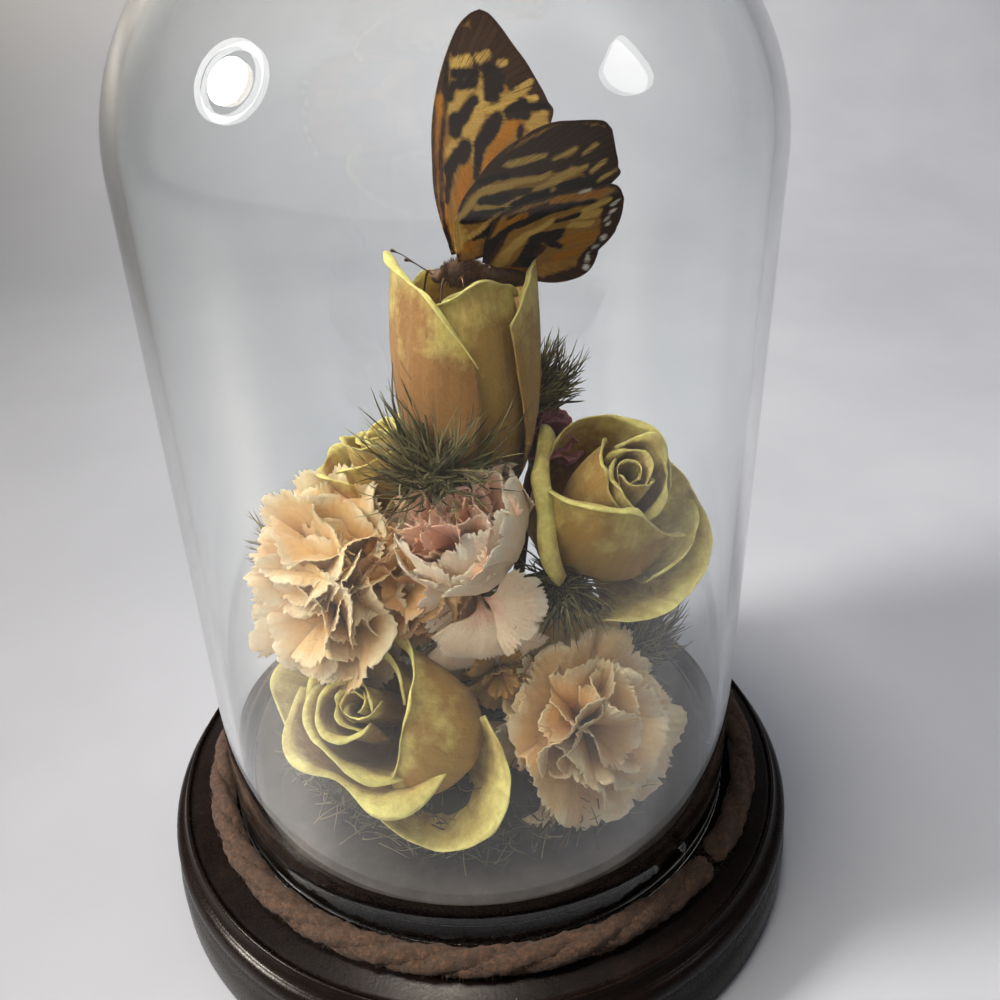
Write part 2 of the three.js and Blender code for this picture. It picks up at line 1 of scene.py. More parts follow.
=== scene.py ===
"""A mounted butterfly over dried roses and carnations, under a glass dome on a turned wooden foot.

Shapes are worked out in millimetres, in the same frame as the CAD part, and become metres when a
piece is made.
"""

import math

import bpy
import numpy as np
from mathutils import Matrix, Vector


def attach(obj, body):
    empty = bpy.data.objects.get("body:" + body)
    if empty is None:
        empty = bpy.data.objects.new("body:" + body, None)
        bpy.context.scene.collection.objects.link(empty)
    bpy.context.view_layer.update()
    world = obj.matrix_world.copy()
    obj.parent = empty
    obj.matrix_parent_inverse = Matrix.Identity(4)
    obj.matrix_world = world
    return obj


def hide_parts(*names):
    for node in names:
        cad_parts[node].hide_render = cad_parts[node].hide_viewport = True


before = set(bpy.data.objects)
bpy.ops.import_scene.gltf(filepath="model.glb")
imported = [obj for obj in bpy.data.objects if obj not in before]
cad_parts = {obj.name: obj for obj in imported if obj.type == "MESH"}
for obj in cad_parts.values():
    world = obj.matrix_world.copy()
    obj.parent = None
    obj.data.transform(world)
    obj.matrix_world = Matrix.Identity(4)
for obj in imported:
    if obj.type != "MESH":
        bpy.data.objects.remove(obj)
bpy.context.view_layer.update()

# ---------------------------------------------------------------- driving dimensions, in millimetres
MM = 0.001
GLASS_RADIUS = 60
GLASS_WALL = 2.5
GLASS_SHOULDER = 170
GLASS_CROWN = 51
FOOT_RADIUS = 76.6
LEDGE_HEIGHT = 21
PLATFORM_RADIUS = 56.8
PLATFORM_HEIGHT = 33.5
ROPE_RADIUS = 3.1
ROPE_SLACK = 1.6
GAP = 0.35
PETAL_FOOT = 2.4
PETAL_STEP = 1.2

TAU = 2 * math.pi
GOLDEN_ANGLE = math.pi * (3 - math.sqrt(5))
SMOOTH_STEPS = 160
WING_RIBS = 46
# Sets each petal's place in a noise far from its neighbours' places.
TONE_SPREAD = 57.0


# ---------------------------------------------------------------- small maths
def mix(a, b, t):
    return a + (b - a) * t


def unit(v):
    v = np.asarray(v, float)
    return v / np.maximum(np.linalg.norm(v, axis=-1, keepdims=True), 1e-9)


def smooth(t):
    t = np.clip(t, 0, 1)
    return t * t * (3 - 2 * t)


def across(values, u):
    """One value, or several spread evenly over u from 0 to 1 and joined by a smooth curve."""
    if np.isscalar(values):
        return np.full_like(u, float(values))
    values = np.asarray(values, float)
    last = len(values) - 1
    x = np.clip(u, 0, 1) * last
    k = np.minimum(x.astype(int), last - 1)
    t = x - k
    padded = np.concatenate([[2 * values[0] - values[1]], values, [2 * values[-1] - values[-2]]])
    a, b, c, d = (padded[k + i] for i in range(4))
    return 0.5 * (2 * b + (c - a) * t + (2 * a - 5 * b + 4 * c - d) * t**2 + (3 * b - a - 3 * c + d) * t**3)


def seeded(name):
    """Random numbers that are always the same for a piece of this name."""
    return np.random.default_rng(sum(map(ord, name)))


def ripples(rng, u, v, scale_u, scale_v, waves=5):
    """Soft seeded noise over u and v, about -1 to 1."""
    total = 0
    for _ in range(waves):
        fu, fv = rng.uniform(0.4, 1, 2) * (scale_u, scale_v)
        total = total + np.sin(TAU * (fu * u + fv * v * rng.choice([-1, 1]) + rng.random()))
    return total / math.sqrt(waves)


def spline(points, count):
    """A smooth curve through points, as count points evenly spaced in the curve's own parameter."""
    t = np.linspace(0, 1, count)
    points = np.asarray(points, float)
    return np.stack([across(points[:, k], t) for k in range(3)], -1)


def facing(origin, direction):
    """
    A frame whose Z looks along a direction, with its X kept to the right as seen from the front. Its origin
    is given above the platform.
    """
    z = unit(direction)
    x = unit(np.array([1.0, 0, 0]) - z * z[0])
    matrix = np.eye(4)
    matrix[:3, :3] = np.stack([x, np.cross(z, x), z], 1)
    matrix[:3, 3] = np.array(origin, float) + (0, 0, PLATFORM_HEIGHT)
    return matrix


def placed(matrix, points):
    """Points carried from a frame's own axes into the part's."""
    return points @ matrix[:3, :3].T + matrix[:3, 3]


# ---------------------------------------------------------------- meshes
def linked(made):
    """Puts an object into the scene."""
    bpy.context.scene.collection.objects.link(made)
    return made


class Form:
    """Points and faces gathered for one piece, with named values at every point for its material."""

    def __init__(self):
        self.points, self.faces, self.values, self.count = [], [], [], 0

    def add(self, points, faces, **values):
        points = np.asarray(points, float).reshape(-1, 3)
        self.points.append(points)
        self.faces.append(np.asarray(faces) + self.count)
        self.values.append({k: np.broadcast_to(v, len(points)) for k, v in values.items()})
        self.count += len(points)

    def grid(self, points, wrap_u=False, **values):
        """points[j, i] joined into quads; with wrap_u each row closes on itself."""
        rows, columns = points.shape[:2]
        i, j = np.meshgrid(np.arange(columns - (not wrap_u)), np.arange(rows - 1))
        i, j = i.ravel(), j.ravel()
        at = lambda row, column: row * columns + column % columns
        faces = np.stack([at(j, i), at(j, i + 1), at(j + 1, i + 1), at(j + 1, i)], 1)
        flat = {k: np.broadcast_to(v, (rows, columns)).ravel() for k, v in values.items()}
        self.add(points.reshape(-1, 3), faces, **flat)

    def shell(self, points, thickness, **values):
        """A sheet of points[j, i] given thickness, with closed edges. `outer` is 1 where its normal faces."""
        du, dv = np.gradient(points, axis=1), np.gradient(points, axis=0)
        normal = unit(np.cross(du, dv))
        half = np.broadcast_to(thickness, points.shape[:2])[..., None] / 2
        front, back = points + normal * half, points - normal * half
        looped = np.concatenate([front, back[:, ::-1]], 1)
        doubled = {}
        for k, v in values.items():
            v = np.broadcast_to(v, points.shape[:2])
            doubled[k] = np.concatenate([v, v[:, ::-1]], 1)
        one = np.ones(points.shape[:2])
        doubled["outer"] = np.concatenate([one, 0 * one], 1)
        start = self.count
        self.grid(looped, wrap_u=True, **doubled)
        rows, columns = points.shape[:2]
        i = np.arange(columns - 1)
        for row, flip in ((0, False), (rows - 1, True)):
            a = start + row * 2 * columns
            ends = np.stack([a + i, a + 2 * columns - 1 - i, a + 2 * columns - 2 - i, a + i + 1], 1)
            self.faces.append(ends[:, ::-1] if flip else ends)

    def tube(self, path, radius, sides=8, **values):
        """A round tube along path, with a radius at each point, closed by a point at each end."""
        path = np.asarray(path, float)
        tangent = unit(np.gradient(path, axis=0))
        aside = unit(np.cross(tangent[0], (0.31, 0.23, 0.92)))
        frames = []
        for t in tangent:
            aside = unit(aside - t * np.dot(aside, t))
            frames.append((aside, np.cross(t, aside)))
        angle = np.linspace(0, TAU, sides, endpoint=False)[:, None]
        radius = np.broadcast_to(radius, len(path))
        ring = lambda p, r, a, b: p + r * (np.cos(angle) * a + np.sin(angle) * b)
        rings = [ring(p, r, a, b) for p, r, (a, b) in zip(path, radius, frames)]
        rings = [np.repeat(path[:1], sides, 0), *rings, np.repeat(path[-1:], sides, 0)]
        along = np.concatenate([[0], np.linspace(0, 1, len(path)), [1]])[:, None]
        self.grid(np.array(rings), wrap_u=True, along=along, **values)

    def threads(self, paths, radius, **values):
        """Thin three-sided threads, tapered to a point: paths[thread, point]."""
        paths = np.asarray(paths, float)
        count, steps = paths.shape[:2]
        tangent = unit(np.gradient(paths, axis=1))
        aside = unit(np.cross(tangent, (0.31, 0.23, 0.92)))
        other = np.cross(tangent, aside)
        taper = np.sqrt(np.clip(1 - np.linspace(0, 1, steps) ** 2, 0.01, 1))
        reach = np.broadcast_to(radius, (count,))[:, None] * taper
        angle = np.arange(3) * TAU / 3
        rings = paths[:, :, None] + reach[..., None, None] * (
            np.cos(angle)[:, None] * aside[:, :, None] + np.sin(angle)[:, None] * other[:, :, None]
        )
        thread, step, side = np.meshgrid(np.arange(count), np.arange(steps - 1), np.arange(3), indexing="ij")
        at = lambda row, column: (thread * steps + row) * 3 + column % 3
        quads = [at(step, side), at(step, side + 1), at(step + 1, side + 1), at(step + 1, side)]
        faces = np.stack([q.ravel() for q in quads], 1)
        spread = {k: np.repeat(np.broadcast_to(v, (count,)), steps * 3) for k, v in values.items()}
        along = np.tile(np.repeat(np.linspace(0, 1, steps), 3), count)
        self.add(rings.reshape(-1, 3), faces, along=along, **spread)

    def made(self, name, material):
        """Makes the object, in metres, with its values as attributes."""
        points = np.concatenate(self.points) * MM
        faces = np.concatenate(self.faces)
        mesh = bpy.data.meshes.new(name)
        mesh.vertices.add(len(points))
        mesh.vertices.foreach_set("co", points.astype(np.float32).ravel())
        mesh.loops.add(faces.size)
        mesh.loops.foreach_set("vertex_index", faces.astype(np.int32).ravel())
        mesh.polygons.add(len(faces))
        mesh.polygons.foreach_set("loop_start", np.arange(0, faces.size, faces.shape[1], dtype=np.int32))
        mesh.polygons.foreach_set("use_smooth", np.ones(len(faces), bool))
        mesh.update(calc_edges=True)
        for key in sorted({k for values in self.values for k in values}):
            data = [v.get(key, np.zeros(len(p))) for v, p in zip(self.values, self.points)]
            layer = mesh.attributes.new(key, "FLOAT", "POINT")
            layer.data.foreach_set("value", np.concatenate(data).astype(np.float32))
        mesh.validate()
        mesh.materials.append(material)
        return linked(bpy.data.objects.new(name, mesh))

    def piece(self, name, material, slot, nodes):
        """Makes a piece that rides on the one body and stands for the named CAD nodes."""
        made = self.made(name, material)
        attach(made, "root")
        if nodes:
            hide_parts(*nodes)
        return made


def turned(profile, steps=SMOOTH_STEPS):
    """points[j, i] of a profile of [radius, height] pairs turned about Z."""
    angle = np.linspace(0, TAU, steps, endpoint=False)
    profile = np.asarray(profile, float)
    ring = np.stack([np.cos(angle), np.sin(angle), np.zeros(steps)], -1)
    return profile[:, None, :1] * ring + profile[:, None, 1:] * (0, 0, 1)


def arc(centre_radius, centre_height, radius, height, start, end, steps):
    """Points of a profile along part of an ellipse, from one angle to another in degrees."""
    angle = np.radians(np.linspace(start, end, steps + 1))
    return [(centre_radius + radius * math.cos(a), centre_height + height * math.sin(a)) for a in angle]


# ---------------------------------------------------------------- materials
def srgb(code, alpha=1.0):
    """The linear colour of a hex code."""
    parts = [int(code[k : k + 2], 16) / 255 for k in (1, 3, 5)]
    return (*[p / 12.92 if p <= 0.04045 else ((p + 0.055) / 1.055) ** 2.4 for p in parts], alpha)


class Shader:
    """A Principled material, with short ways to make the nodes that feed it."""

    def __init__(self, name, **constants):
        self.material = bpy.data.materials.new(name)
        self.material.use_nodes = True
        self.tree = self.material.node_tree
        self.surface = self.tree.nodes["Principled BSDF"]
        for socket, value in constants.items():
            self.surface.inputs[socket.replace("_", " ")].default_value = value

    def node(self, kind, inputs=(), **settings):
        made = self.tree.nodes.new("ShaderNode" + kind)
        for key, value in settings.items():
            setattr(made, key, value)
        for socket, value in dict(inputs).items():
            if isinstance(value, bpy.types.NodeSocket):
                self.tree.links.new(value, made.inputs[socket])
            else:
                made.inputs[socket].default_value = value
        return made

    def value(self, name):
        return self.node("Attribute", attribute_name=name).outputs["Fac"]

    def scaled(self, name, by):
        return self.math("MULTIPLY", self.value(name), by)

    def math(self, operation, a, b=0.0, clamp=False):
        return self.node("Math", {0: a, 1: b}, operation=operation, use_clamp=clamp).outputs[0]

    def place(self, scale=(1, 1, 1)):
        """The point's place on the object, in millimetres, scaled."""
        where = self.node("TexCoord").outputs["Object"]
        factors = [s / MM for s in scale]
        return self.node("Mapping", {"Vector": where, "Scale": factors}).outputs[0]

    def along(self, scale_u, scale_v):
        """The point's place on the petal: across it, up it, and a third number that tells petals apart."""
        scales = {"across": scale_u, "along": scale_v, "tone": TONE_SPREAD}
        parts = [self.scaled(name, scale) for name, scale in scales.items()]
        return self.node("CombineXYZ", enumerate(parts)).outputs[0]

    def noise(self, vector, scale, detail=3.0, roughness=0.55):
        inputs = {"Vector": vector, "Scale": scale, "Detail": detail, "Roughness": roughness}
        return self.node("TexNoise", inputs).outputs["Fac"]

    def ramp(self, factor, *stops):
        made = self.node("ValToRGB", {"Fac": factor})
        elements = made.color_ramp.elements
        while len(elements) < len(stops):
            elements.new(0.5)
        for element, (position, colour) in zip(elements, stops):
            element.position = position
            element.color = srgb(colour) if isinstance(colour, str) else (colour, colour, colour, 1)
        return made.outputs["Color"]

    def blend(self, factor, a, b, kind="MIX"):
        made = self.node("MixRGB", {"Fac": factor}, blend_type=kind)
        for socket, colour in (("Color1", a), ("Color2", b)):
            if isinstance(colour, str):
                made.inputs[socket].default_value = srgb(colour)
            else:
                self.tree.links.new(colour, made.inputs[socket])
        return made.outputs["Color"]

    def feed(self, socket, output):
        self.tree.links.new(output, self.surface.inputs[socket])

    def bump(self, height, strength, distance):
        before = self.surface.inputs["Normal"].links
        inputs = {"Height": height, "Strength": strength, "Distance": distance * MM}
        if before:
            inputs["Normal"] = before[0].from_socket
        self.feed("Normal", self.node("Bump", inputs).outputs[0])


def mottled(name, roughness, stretch, pattern, stops, relief=None, bump=(0.5, 0.3)):
    """
    A dull finish coloured by noise. pattern and relief are a noise's scale, detail and roughness; without a
    relief the same noise makes the bumps. bump is their strength and height.
    """
    s = Shader(name, Roughness=roughness)
    colour = s.noise(s.place(stretch), *pattern)
    s.feed("Base Color", s.ramp(colour, *stops))
    s.bump(s.noise(s.place(), *relief) if relief else colour, *bump)
    return s.material


EVEN = (1, 1, 1)
DUSTY_PLATFORM = dict(
    name="dull_stained_platform", roughness=0.6, stretch=EVEN, pattern=(0.12, 6, 0.65),
    stops=[(0.35, "#231e1b"), (0.6, "#3a342f"), (0.75, "#4e4741")], relief=(1.1, 5, 0.7), bump=(0.6, 0.25),
)
CORD_FIBRE = dict(
    name="fuzzy_brown_cord", roughness=0.95, stretch=EVEN, pattern=(0.9, 6, 0.7),
    stops=[(0.3, "#150d07"), (0.5, "#2e1d12"), (0.72, "#4c321f")], relief=(2.2, 4, 0.75), bump=(0.9, 0.5),
)
DRY_STEM = dict(
    name="dry_red_brown_stem", roughness=0.7, stretch=(3, 3, 0.3), pattern=(0.5, 5, 0.6),
    stops=[(0.3, "#3a2019"), (0.55, "#5d3427"), (0.75, "#74503a")],
)
DRY_SEPAL = dict(
    name="dry_green_sepal", roughness=0.75, stretch=EVEN, pattern=(0.5, 5, 0.6),
    stops=[(0.3, "#4b4a2c"), (0.6, "#6f6a40"), (0.8, "#8a7a4a")],
)
INSECT_CUTICLE = dict(
    name="dark_insect_cuticle", roughness=0.45, stretch=EVEN, pattern=(1.2, 4),
    stops=[(0.3, "#2a1a0e"), (0.7, "#6a4626")], relief=(3.0, 3), bump=(0.5, 0.1),
)


def lacquered_wood():
    s = Shader("dark_lacquered_wood", Roughness=0.24, Specular_IOR_Level=0.07)
    grain = s.noise(s.place((0.5, 0.5, 4)), 0.35, 6, 0.6)
    s.feed("Base Color", s.ramp(grain, (0.3, "#060404"), (0.62, "#0e0908"), (0.8, "#17100f")))
    dust = s.noise(s.place(), 2.2, 4, 0.7)
    s.feed("Roughness", s.ramp(dust, (0.4, 0.2), (0.62, 0.34)))
    s.bump(s.noise(s.place(), 1.4, 3), 0.35, 0.08)
    return s.material


def clear_glass():
    s = Shader("clear_glass", Transmission_Weight=1.0, IOR=1.45, Roughness=0.0)
    s.feed("Base Color", s.ramp(s.noise(s.place(), 0.02, 2), (0.3, "#f7fafa"), (0.7, "#fdfefe")))
    return s.material


def petal(name, rim, body, base, outside, vein, vein_scale=16, rim_start=0.8, blush="#000000"):
    """
    A dried petal: pale at its rim, deeper towards its base, of the outside's colour on its outer face where
    it is `tan`, and tinted by blush where it has that value.
    """
    s = Shader(
        name, Roughness=0.62, Sheen_Weight=0.15, Sheen_Roughness=0.5,
        Subsurface_Weight=0.3, Subsurface_Scale=MM, Subsurface_Radius=(1, 0.85, 0.7),
    )
    patchy = s.noise(s.place(), 0.13, 5, 0.62)
    height = s.math("ADD", s.value("along"), s.math("MULTIPLY", s.math("SUBTRACT", patchy, 0.5), 0.75))
    inside = s.ramp(height, (0.0, base), (0.45, body), (rim_start, body), (1.0, rim))
    skin = s.ramp(height, (0.0, base), (0.35, outside), (rim_start, outside), (0.98, rim))
    tanned = s.math("MULTIPLY", s.value("outer"), s.value("tan"))
    colour = s.blend(tanned, inside, skin)
    fibres = s.noise(s.along(vein_scale, 1.6), 1.0, 3, 0.6)
    colour = s.blend(s.ramp(fibres, (0.35, 0.2), (0.62, 0.0)), colour, vein, "MULTIPLY")
    blotch = s.noise(s.along(5, 6), 1.0, 5, 0.7)
    colour = s.blend(s.ramp(blotch, (0.52, 0.0), (0.75, 0.6)), colour, outside)
    s.feed("Base Color", s.blend(s.value("blush"), colour, blush))
    s.bump(fibres, 0.2, 0.15)
    s.bump(s.noise(s.place(), 0.7, 6, 0.66), 0.8, 0.7)
    return s.material


def dry_needles(name, dark, light):
    s = Shader(name, Roughness=0.75)
    s.feed("Base Color", s.blend(s.value("tone"), dark, light))
    s.bump(s.noise(s.place(), 2.0, 2), 0.3, 0.05)
    return s.material


def insect_hair():
    s = Shader("short_insect_hair", Roughness=0.8)
    s.feed("Base Color", s.blend(s.value("tone"), "#2a1c14", "#7a5428"))
    return s.material


def wing_scales():
    """
    Powdery scales. Each point of a wing carries how far inside its brown, orange, cream, dark or white
    marks it lies, and its ray and reach from the hub of the wing's ribs, along which the marks are feathered.
    """
    s = Shader("powdery_wing_scales", Roughness=0.8, Specular_IOR_Level=0.15)
    grain = s.noise(s.place(), 3.2, 4, 0.75)
    fan = s.node("CombineXYZ", {0: s.scaled("ray", 34.0), 1: s.scaled("reach", 0.16)})
    feather = s.noise(fan.outputs[0], 1.0, 3, 0.6)
    smudge = s.noise(s.place(), 0.5, 3, 0.6)
    ragged = s.math("ADD", s.math("MULTIPLY", feather, 1.3), s.math("MULTIPLY", smudge, 0.9))
    grainy = lambda dark, light, end=0.7: s.ramp(grain, (0.3, dark), (end, light))
    colour = s.blend(smudge, grainy("#9c742a", "#cc9e4c"), "#946820")
    colour = s.blend(s.ramp(feather, (0.45, 0.0), (0.7, 0.4)), colour, "#7a4a16")
    paints = dict(
        brown=grainy("#2e1b0a", "#523216"),
        orange=grainy("#a0620c", "#c88a1c"),
        cream=grainy("#b8923e", "#e2be6a"),
        dark=grainy("#0e0703", "#2c190c", 0.75),
        white=grainy("#d8cfbc", "#f4efe2"),
    )
    covered = {}
    for kind, paint in paints.items():
        depth = s.math("ADD", s.value(kind), s.math("SUBTRACT", ragged, 0.35))
        covered[kind] = s.ramp(depth, (0.2, 0.0), (0.85, 1.0))
        colour = s.blend(covered[kind], colour, paint)
    wave = s.math("SINE", s.scaled("ray", WING_RIBS))
    lines = s.math("POWER", s.math("ABSOLUTE", wave), 0.5)
    strength = s.math("ADD", covered["brown"], 0.25)
    ribs = s.math("MULTIPLY", s.ramp(lines, (0.2, 0.75), (0.6, 0.0)), strength)
    s.feed("Base Color", s.blend(ribs, colour, "#1d130c"))
    s.bump(grain, 0.25, 0.1)
    s.bump(lines, 0.3, 0.12)
    return s.material


# ---------------------------------------------------------------- case: foot, platform, glass, cord
def make_foot():
    foot = Form()
    rim = FOOT_RADIUS - 4.4
    profile = [
        (0, 0),
        (FOOT_RADIUS - 4, 0),
        *arc(FOOT_RADIUS - 1, 1, 1, 1, -90, 0, 4),
        (FOOT_RADIUS, 4),
        (FOOT_RADIUS, 7),
        (FOOT_RADIUS - 0.35, 10),
        *arc(FOOT_RADIUS - 3.4, 15.2, 2.7, 3.2, -40, 80, 10),
        *arc(rim + 0.1, LEDGE_HEIGHT - 0.1, 0.55, 0.7, 20, 170, 5),
        (rim - 0.9, LEDGE_HEIGHT - 0.35),
        (rim - 1.6, LEDGE_HEIGHT),
        (PLATFORM_RADIUS + 0.8, LEDGE_HEIGHT),
        (PLATFORM_RADIUS, LEDGE_HEIGHT + 0.8),
        (PLATFORM_RADIUS, LEDGE_HEIGHT + 6.6),
        *arc(PLATFORM_RADIUS - 0.4, LEDGE_HEIGHT + 7.2, 0.7, 0.5, -60, 80, 4),
        *arc(PLATFORM_RADIUS - 4, PLATFORM_HEIGHT - 3, 3.3, 3, 0, 90, 8),
        (PLATFORM_RADIUS - 8, PLATFORM_HEIGHT),
        (0, PLATFORM_HEIGHT),
    ]
    foot.grid(turned(profile), wrap_u=True)
    made = foot.piece("turned_foot", lacquered_wood(), "wood", ["wood_base"])
    made.data.materials.append(mottled(**DUSTY_PLATFORM))
    top = (PLATFORM_HEIGHT - 1) * MM
    for face in made.data.polygons:
        face.material_index = int(face.center.z > top)
    return made


def make_dome():
    inner = GLASS_RADIUS - GLASS_WALL
    foot = LEDGE_HEIGHT + GAP
    profile = [
        *arc(0, GLASS_SHOULDER, GLASS_RADIUS, GLASS_CROWN, 90, 0, 32),
        *[(GLASS_RADIUS, mix(GLASS_SHOULDER, foot + 1, k / 12)) for k in range(1, 13)],
        *arc((GLASS_RADIUS + inner) / 2, foot + 1, GLASS_WALL / 2, 1, 0, -180, 6),
        *[(inner, mix(foot + 1, GLASS_SHOULDER, k / 12)) for k in range(1, 12)],
        *arc(0, GLASS_SHOULDER, inner, GLASS_CROWN - GLASS_WALL, 0, 90, 32),
    ]
    dome = Form()
    dome.grid(turned(profile[::-1]), wrap_u=True)
    return dome.piece("blown_dome", clear_glass(), "glass", ["glass_dome"])


ROPE_JOIN = math.radians(-40)
ROPE_OPENING = 0.02
ROPE_STEPS = 420
ROPE_LAYS = 10
STRAND_SIDES = 14
ROPE_FIBRES = 8000


def rope_centre(share):
    """The cord's middle line: it stands off the glass a little on the right, where its ends meet."""
    angle = ROPE_JOIN + (TAU - ROPE_OPENING) * share
    slack = ROPE_SLACK * np.maximum(0, np.cos(angle)) ** 2
    radius = GLASS_RADIUS + GAP + ROPE_RADIUS + slack
    height = np.full_like(angle, LEDGE_HEIGHT + GAP + ROPE_RADIUS)
    return np.stack([radius * np.cos(angle), radius * np.sin(angle), height], -1)


def make_rope():
    rng = np.random.default_rng(3)
    rope = Form()
    share = np.linspace(0, 1, ROPE_STEPS)
    centre = rope_centre(share)
    outwards = unit(centre * (1, 1, 0))
    up = np.array([0, 0, 1.0])
    strand_radius = ROPE_RADIUS * 0.68
    offset = ROPE_RADIUS - strand_radius
    around = np.linspace(0, TAU, STRAND_SIDES, endpoint=False)
    for strand in range(3):
        turn = TAU * (ROPE_LAYS * share + strand / 3) + 0.25 * np.sin(TAU * 5 * share)
        middle = centre + offset * (np.cos(turn)[:, None] * outwards + np.sin(turn)[:, None] * up)
        lump = 1 + 0.06 * ripples(rng, share[:, None] * 40, around[None] / TAU, 3, 2)
        lump *= 1 + 0.05 * rng.standard_normal(lump.shape)
        end = np.sqrt(np.clip(np.minimum(share, 1 - share) * 180, 0.05, 1))
        reach = strand_radius * lump * end[:, None]
        outwards_part = (reach * np.cos(around))[..., None] * outwards[:, None]
        ring = middle[:, None] + outwards_part - (reach * np.sin(around))[..., None] * up
        rope.grid(ring, wrap_u=True, tone=rng.random())
    count = ROPE_FIBRES
    s, a = rng.random(count), rng.random(count) * TAU
    root = rope_centre(s)
    away = np.cos(a)[:, None] * unit(root * (1, 1, 0)) + np.sin(a)[:, None] * up
    lengthwise = np.stack([-root[:, 1], root[:, 0], np.zeros(count)], -1) / GLASS_RADIUS
    start = root + away * ROPE_RADIUS * 0.86
    lean = away * rng.uniform(0.2, 1, (count, 1)) + lengthwise * rng.normal(0, 0.9, (count, 1))
    reach = rng.uniform(0.4, 1.15, (count, 1))
    tip = start + unit(lean) * reach
    middle = (start + tip) / 2 + rng.normal(0, 0.12, (count, 3))
    tip[:, 2] = np.maximum(tip[:, 2], LEDGE_HEIGHT + 0.1)
    rope.threads(np.stack([start, middle, tip], 1), 0.05, tone=rng.random(count))
    return rope.piece("laid_cord", mottled(**CORD_FIBRE), "cord", ["rope_ring"])


# ---------------------------------------------------------------- roses
BODY_SHARE = 0.76
LIP_THINNESS = 0.72


def rose_petal(form, matrix, rng, turn, spread, belly, lip, height, seat, roll=1.3, curl=120,
               point=0.12, tan=0.0, lemon=0.0, across_steps=40, along_steps=34, crumple=0.35):
    """
    A petal about its flower's axis. turn and spread are degrees: where its middle is, and how far it reaches
    to each side. belly and lip are radii, height is the lip's, and the lip rolls outwards by curl degrees
    round a radius of roll. belly, lip, height, roll and curl may each be several values from side to side.
    lemon spreads the rim's colour over the petal.
    """
    u, v = np.meshgrid(np.linspace(0, 1, across_steps), np.linspace(0, 1, along_steps))
    side = 2 * u - 1
    tall = across(height, u) * (1 - point * np.abs(side) ** 3)
    wide = across(lip, u)
    belly, roll, curl = across(belly, u), across(roll, u), np.radians(across(curl, u))
    roll = roll * LIP_THINNESS * np.clip(1 + 0.45 * ripples(rng, u, 0 * v, 2.5, 0), 0.35, 1.8)
    climb = np.minimum(v / BODY_SHARE, 1)
    a, b, c, d = (1 - climb) ** 3, 3 * climb * (1 - climb) ** 2, 3 * climb**2 * (1 - climb), climb**3
    r = a * PETAL_FOOT + b * belly + c * belly * 1.12 + d * wide
    h = a * seat + b * mix(seat, tall, 0.06) + c * tall * 0.62 + d * tall
    leaving = unit(np.stack([wide - belly * 1.12, tall * 0.38], -1))
    angle = curl * np.maximum(v - BODY_SHARE, 0) / (1 - BODY_SHARE)
    r += roll * (leaving[..., 1] * (1 - np.cos(angle)) + leaving[..., 0] * np.sin(angle))
    h += roll * (-leaving[..., 0] * (1 - np.cos(angle)) + leaving[..., 1] * np.sin(angle))
    dents = crumple * ripples(rng, u, v, 2.2, 1.6) * smooth(v * 1.5)
    folds = crumple * 0.25 * ripples(rng, u, v, 9, 1.2)
    r += dents + folds
    h += crumple * 1.2 * ripples(rng, u, 0 * v, 3.5, 0) * v**3
    width = mix(0.55, 1, np.minimum(1, v * 1.6))
    theta = np.radians(turn + spread * width * side)
    points = placed(matrix, np.stack([r * np.cos(theta), r * np.sin(theta), h], -1))
    thick = 0.42 * (1 - 0.45 * v)
    form.shell(points, thick, across=u, along=mix(v, 1, lemon), tone=rng.random(), tan=tan)


def rose_heart(form, matrix, rng, radius, seat, height, petals=5):
    """The wound inner petals, each round the one before and a little wider."""
    for k in range(petals):
        share = k / (petals - 1)
        rose_petal(
            form, matrix, rng,
            turn=math.degrees(GOLDEN_ANGLE) * k + rng.uniform(-10, 10),
            spread=mix(120, 82, share),
            belly=mix(radius * 0.4, radius * 0.92, share),
            lip=[mix(least, radius * most, share) for least, most in ((1.2, 0.62), (2.0, 0.8), (3.2, 0.98))],
            height=height - 1.6 * abs(share - 0.5) + rng.uniform(-0.6, 0.6),
            seat=seat,
            roll=0.45 + 0.3 * share,
            curl=60 + 60 * share,
            across_steps=30,
            along_steps=20,
            crumple=0.2,
        )


def make_rose(name, foot, faces, bud, petals, material):
    rng = seeded(name)
    matrix = facing(foot, faces)
    form = Form()
    seat = lambda layer: PETAL_STEP * (len(petals) - layer)
    rose_heart(form, matrix, rng, bud[0], seat(0), bud[1])
    for k, settings in enumerate(petals):
        rose_petal(form, matrix, rng, seat=seat(k + 1), **settings)
    nodes = [f"{name}_bud"] + [f"{name}_petal_{k + 1}" for k in range(len(petals))]
    return form.piece(f"{name}_petals", material, "rose_petal", nodes)


def outer(turn, spread, belly, lip, height, **more):
    """One outer petal's settings for rose_petal."""
    return dict(turn=turn, spread=spread, belly=belly, lip=lip, height=height, **more)


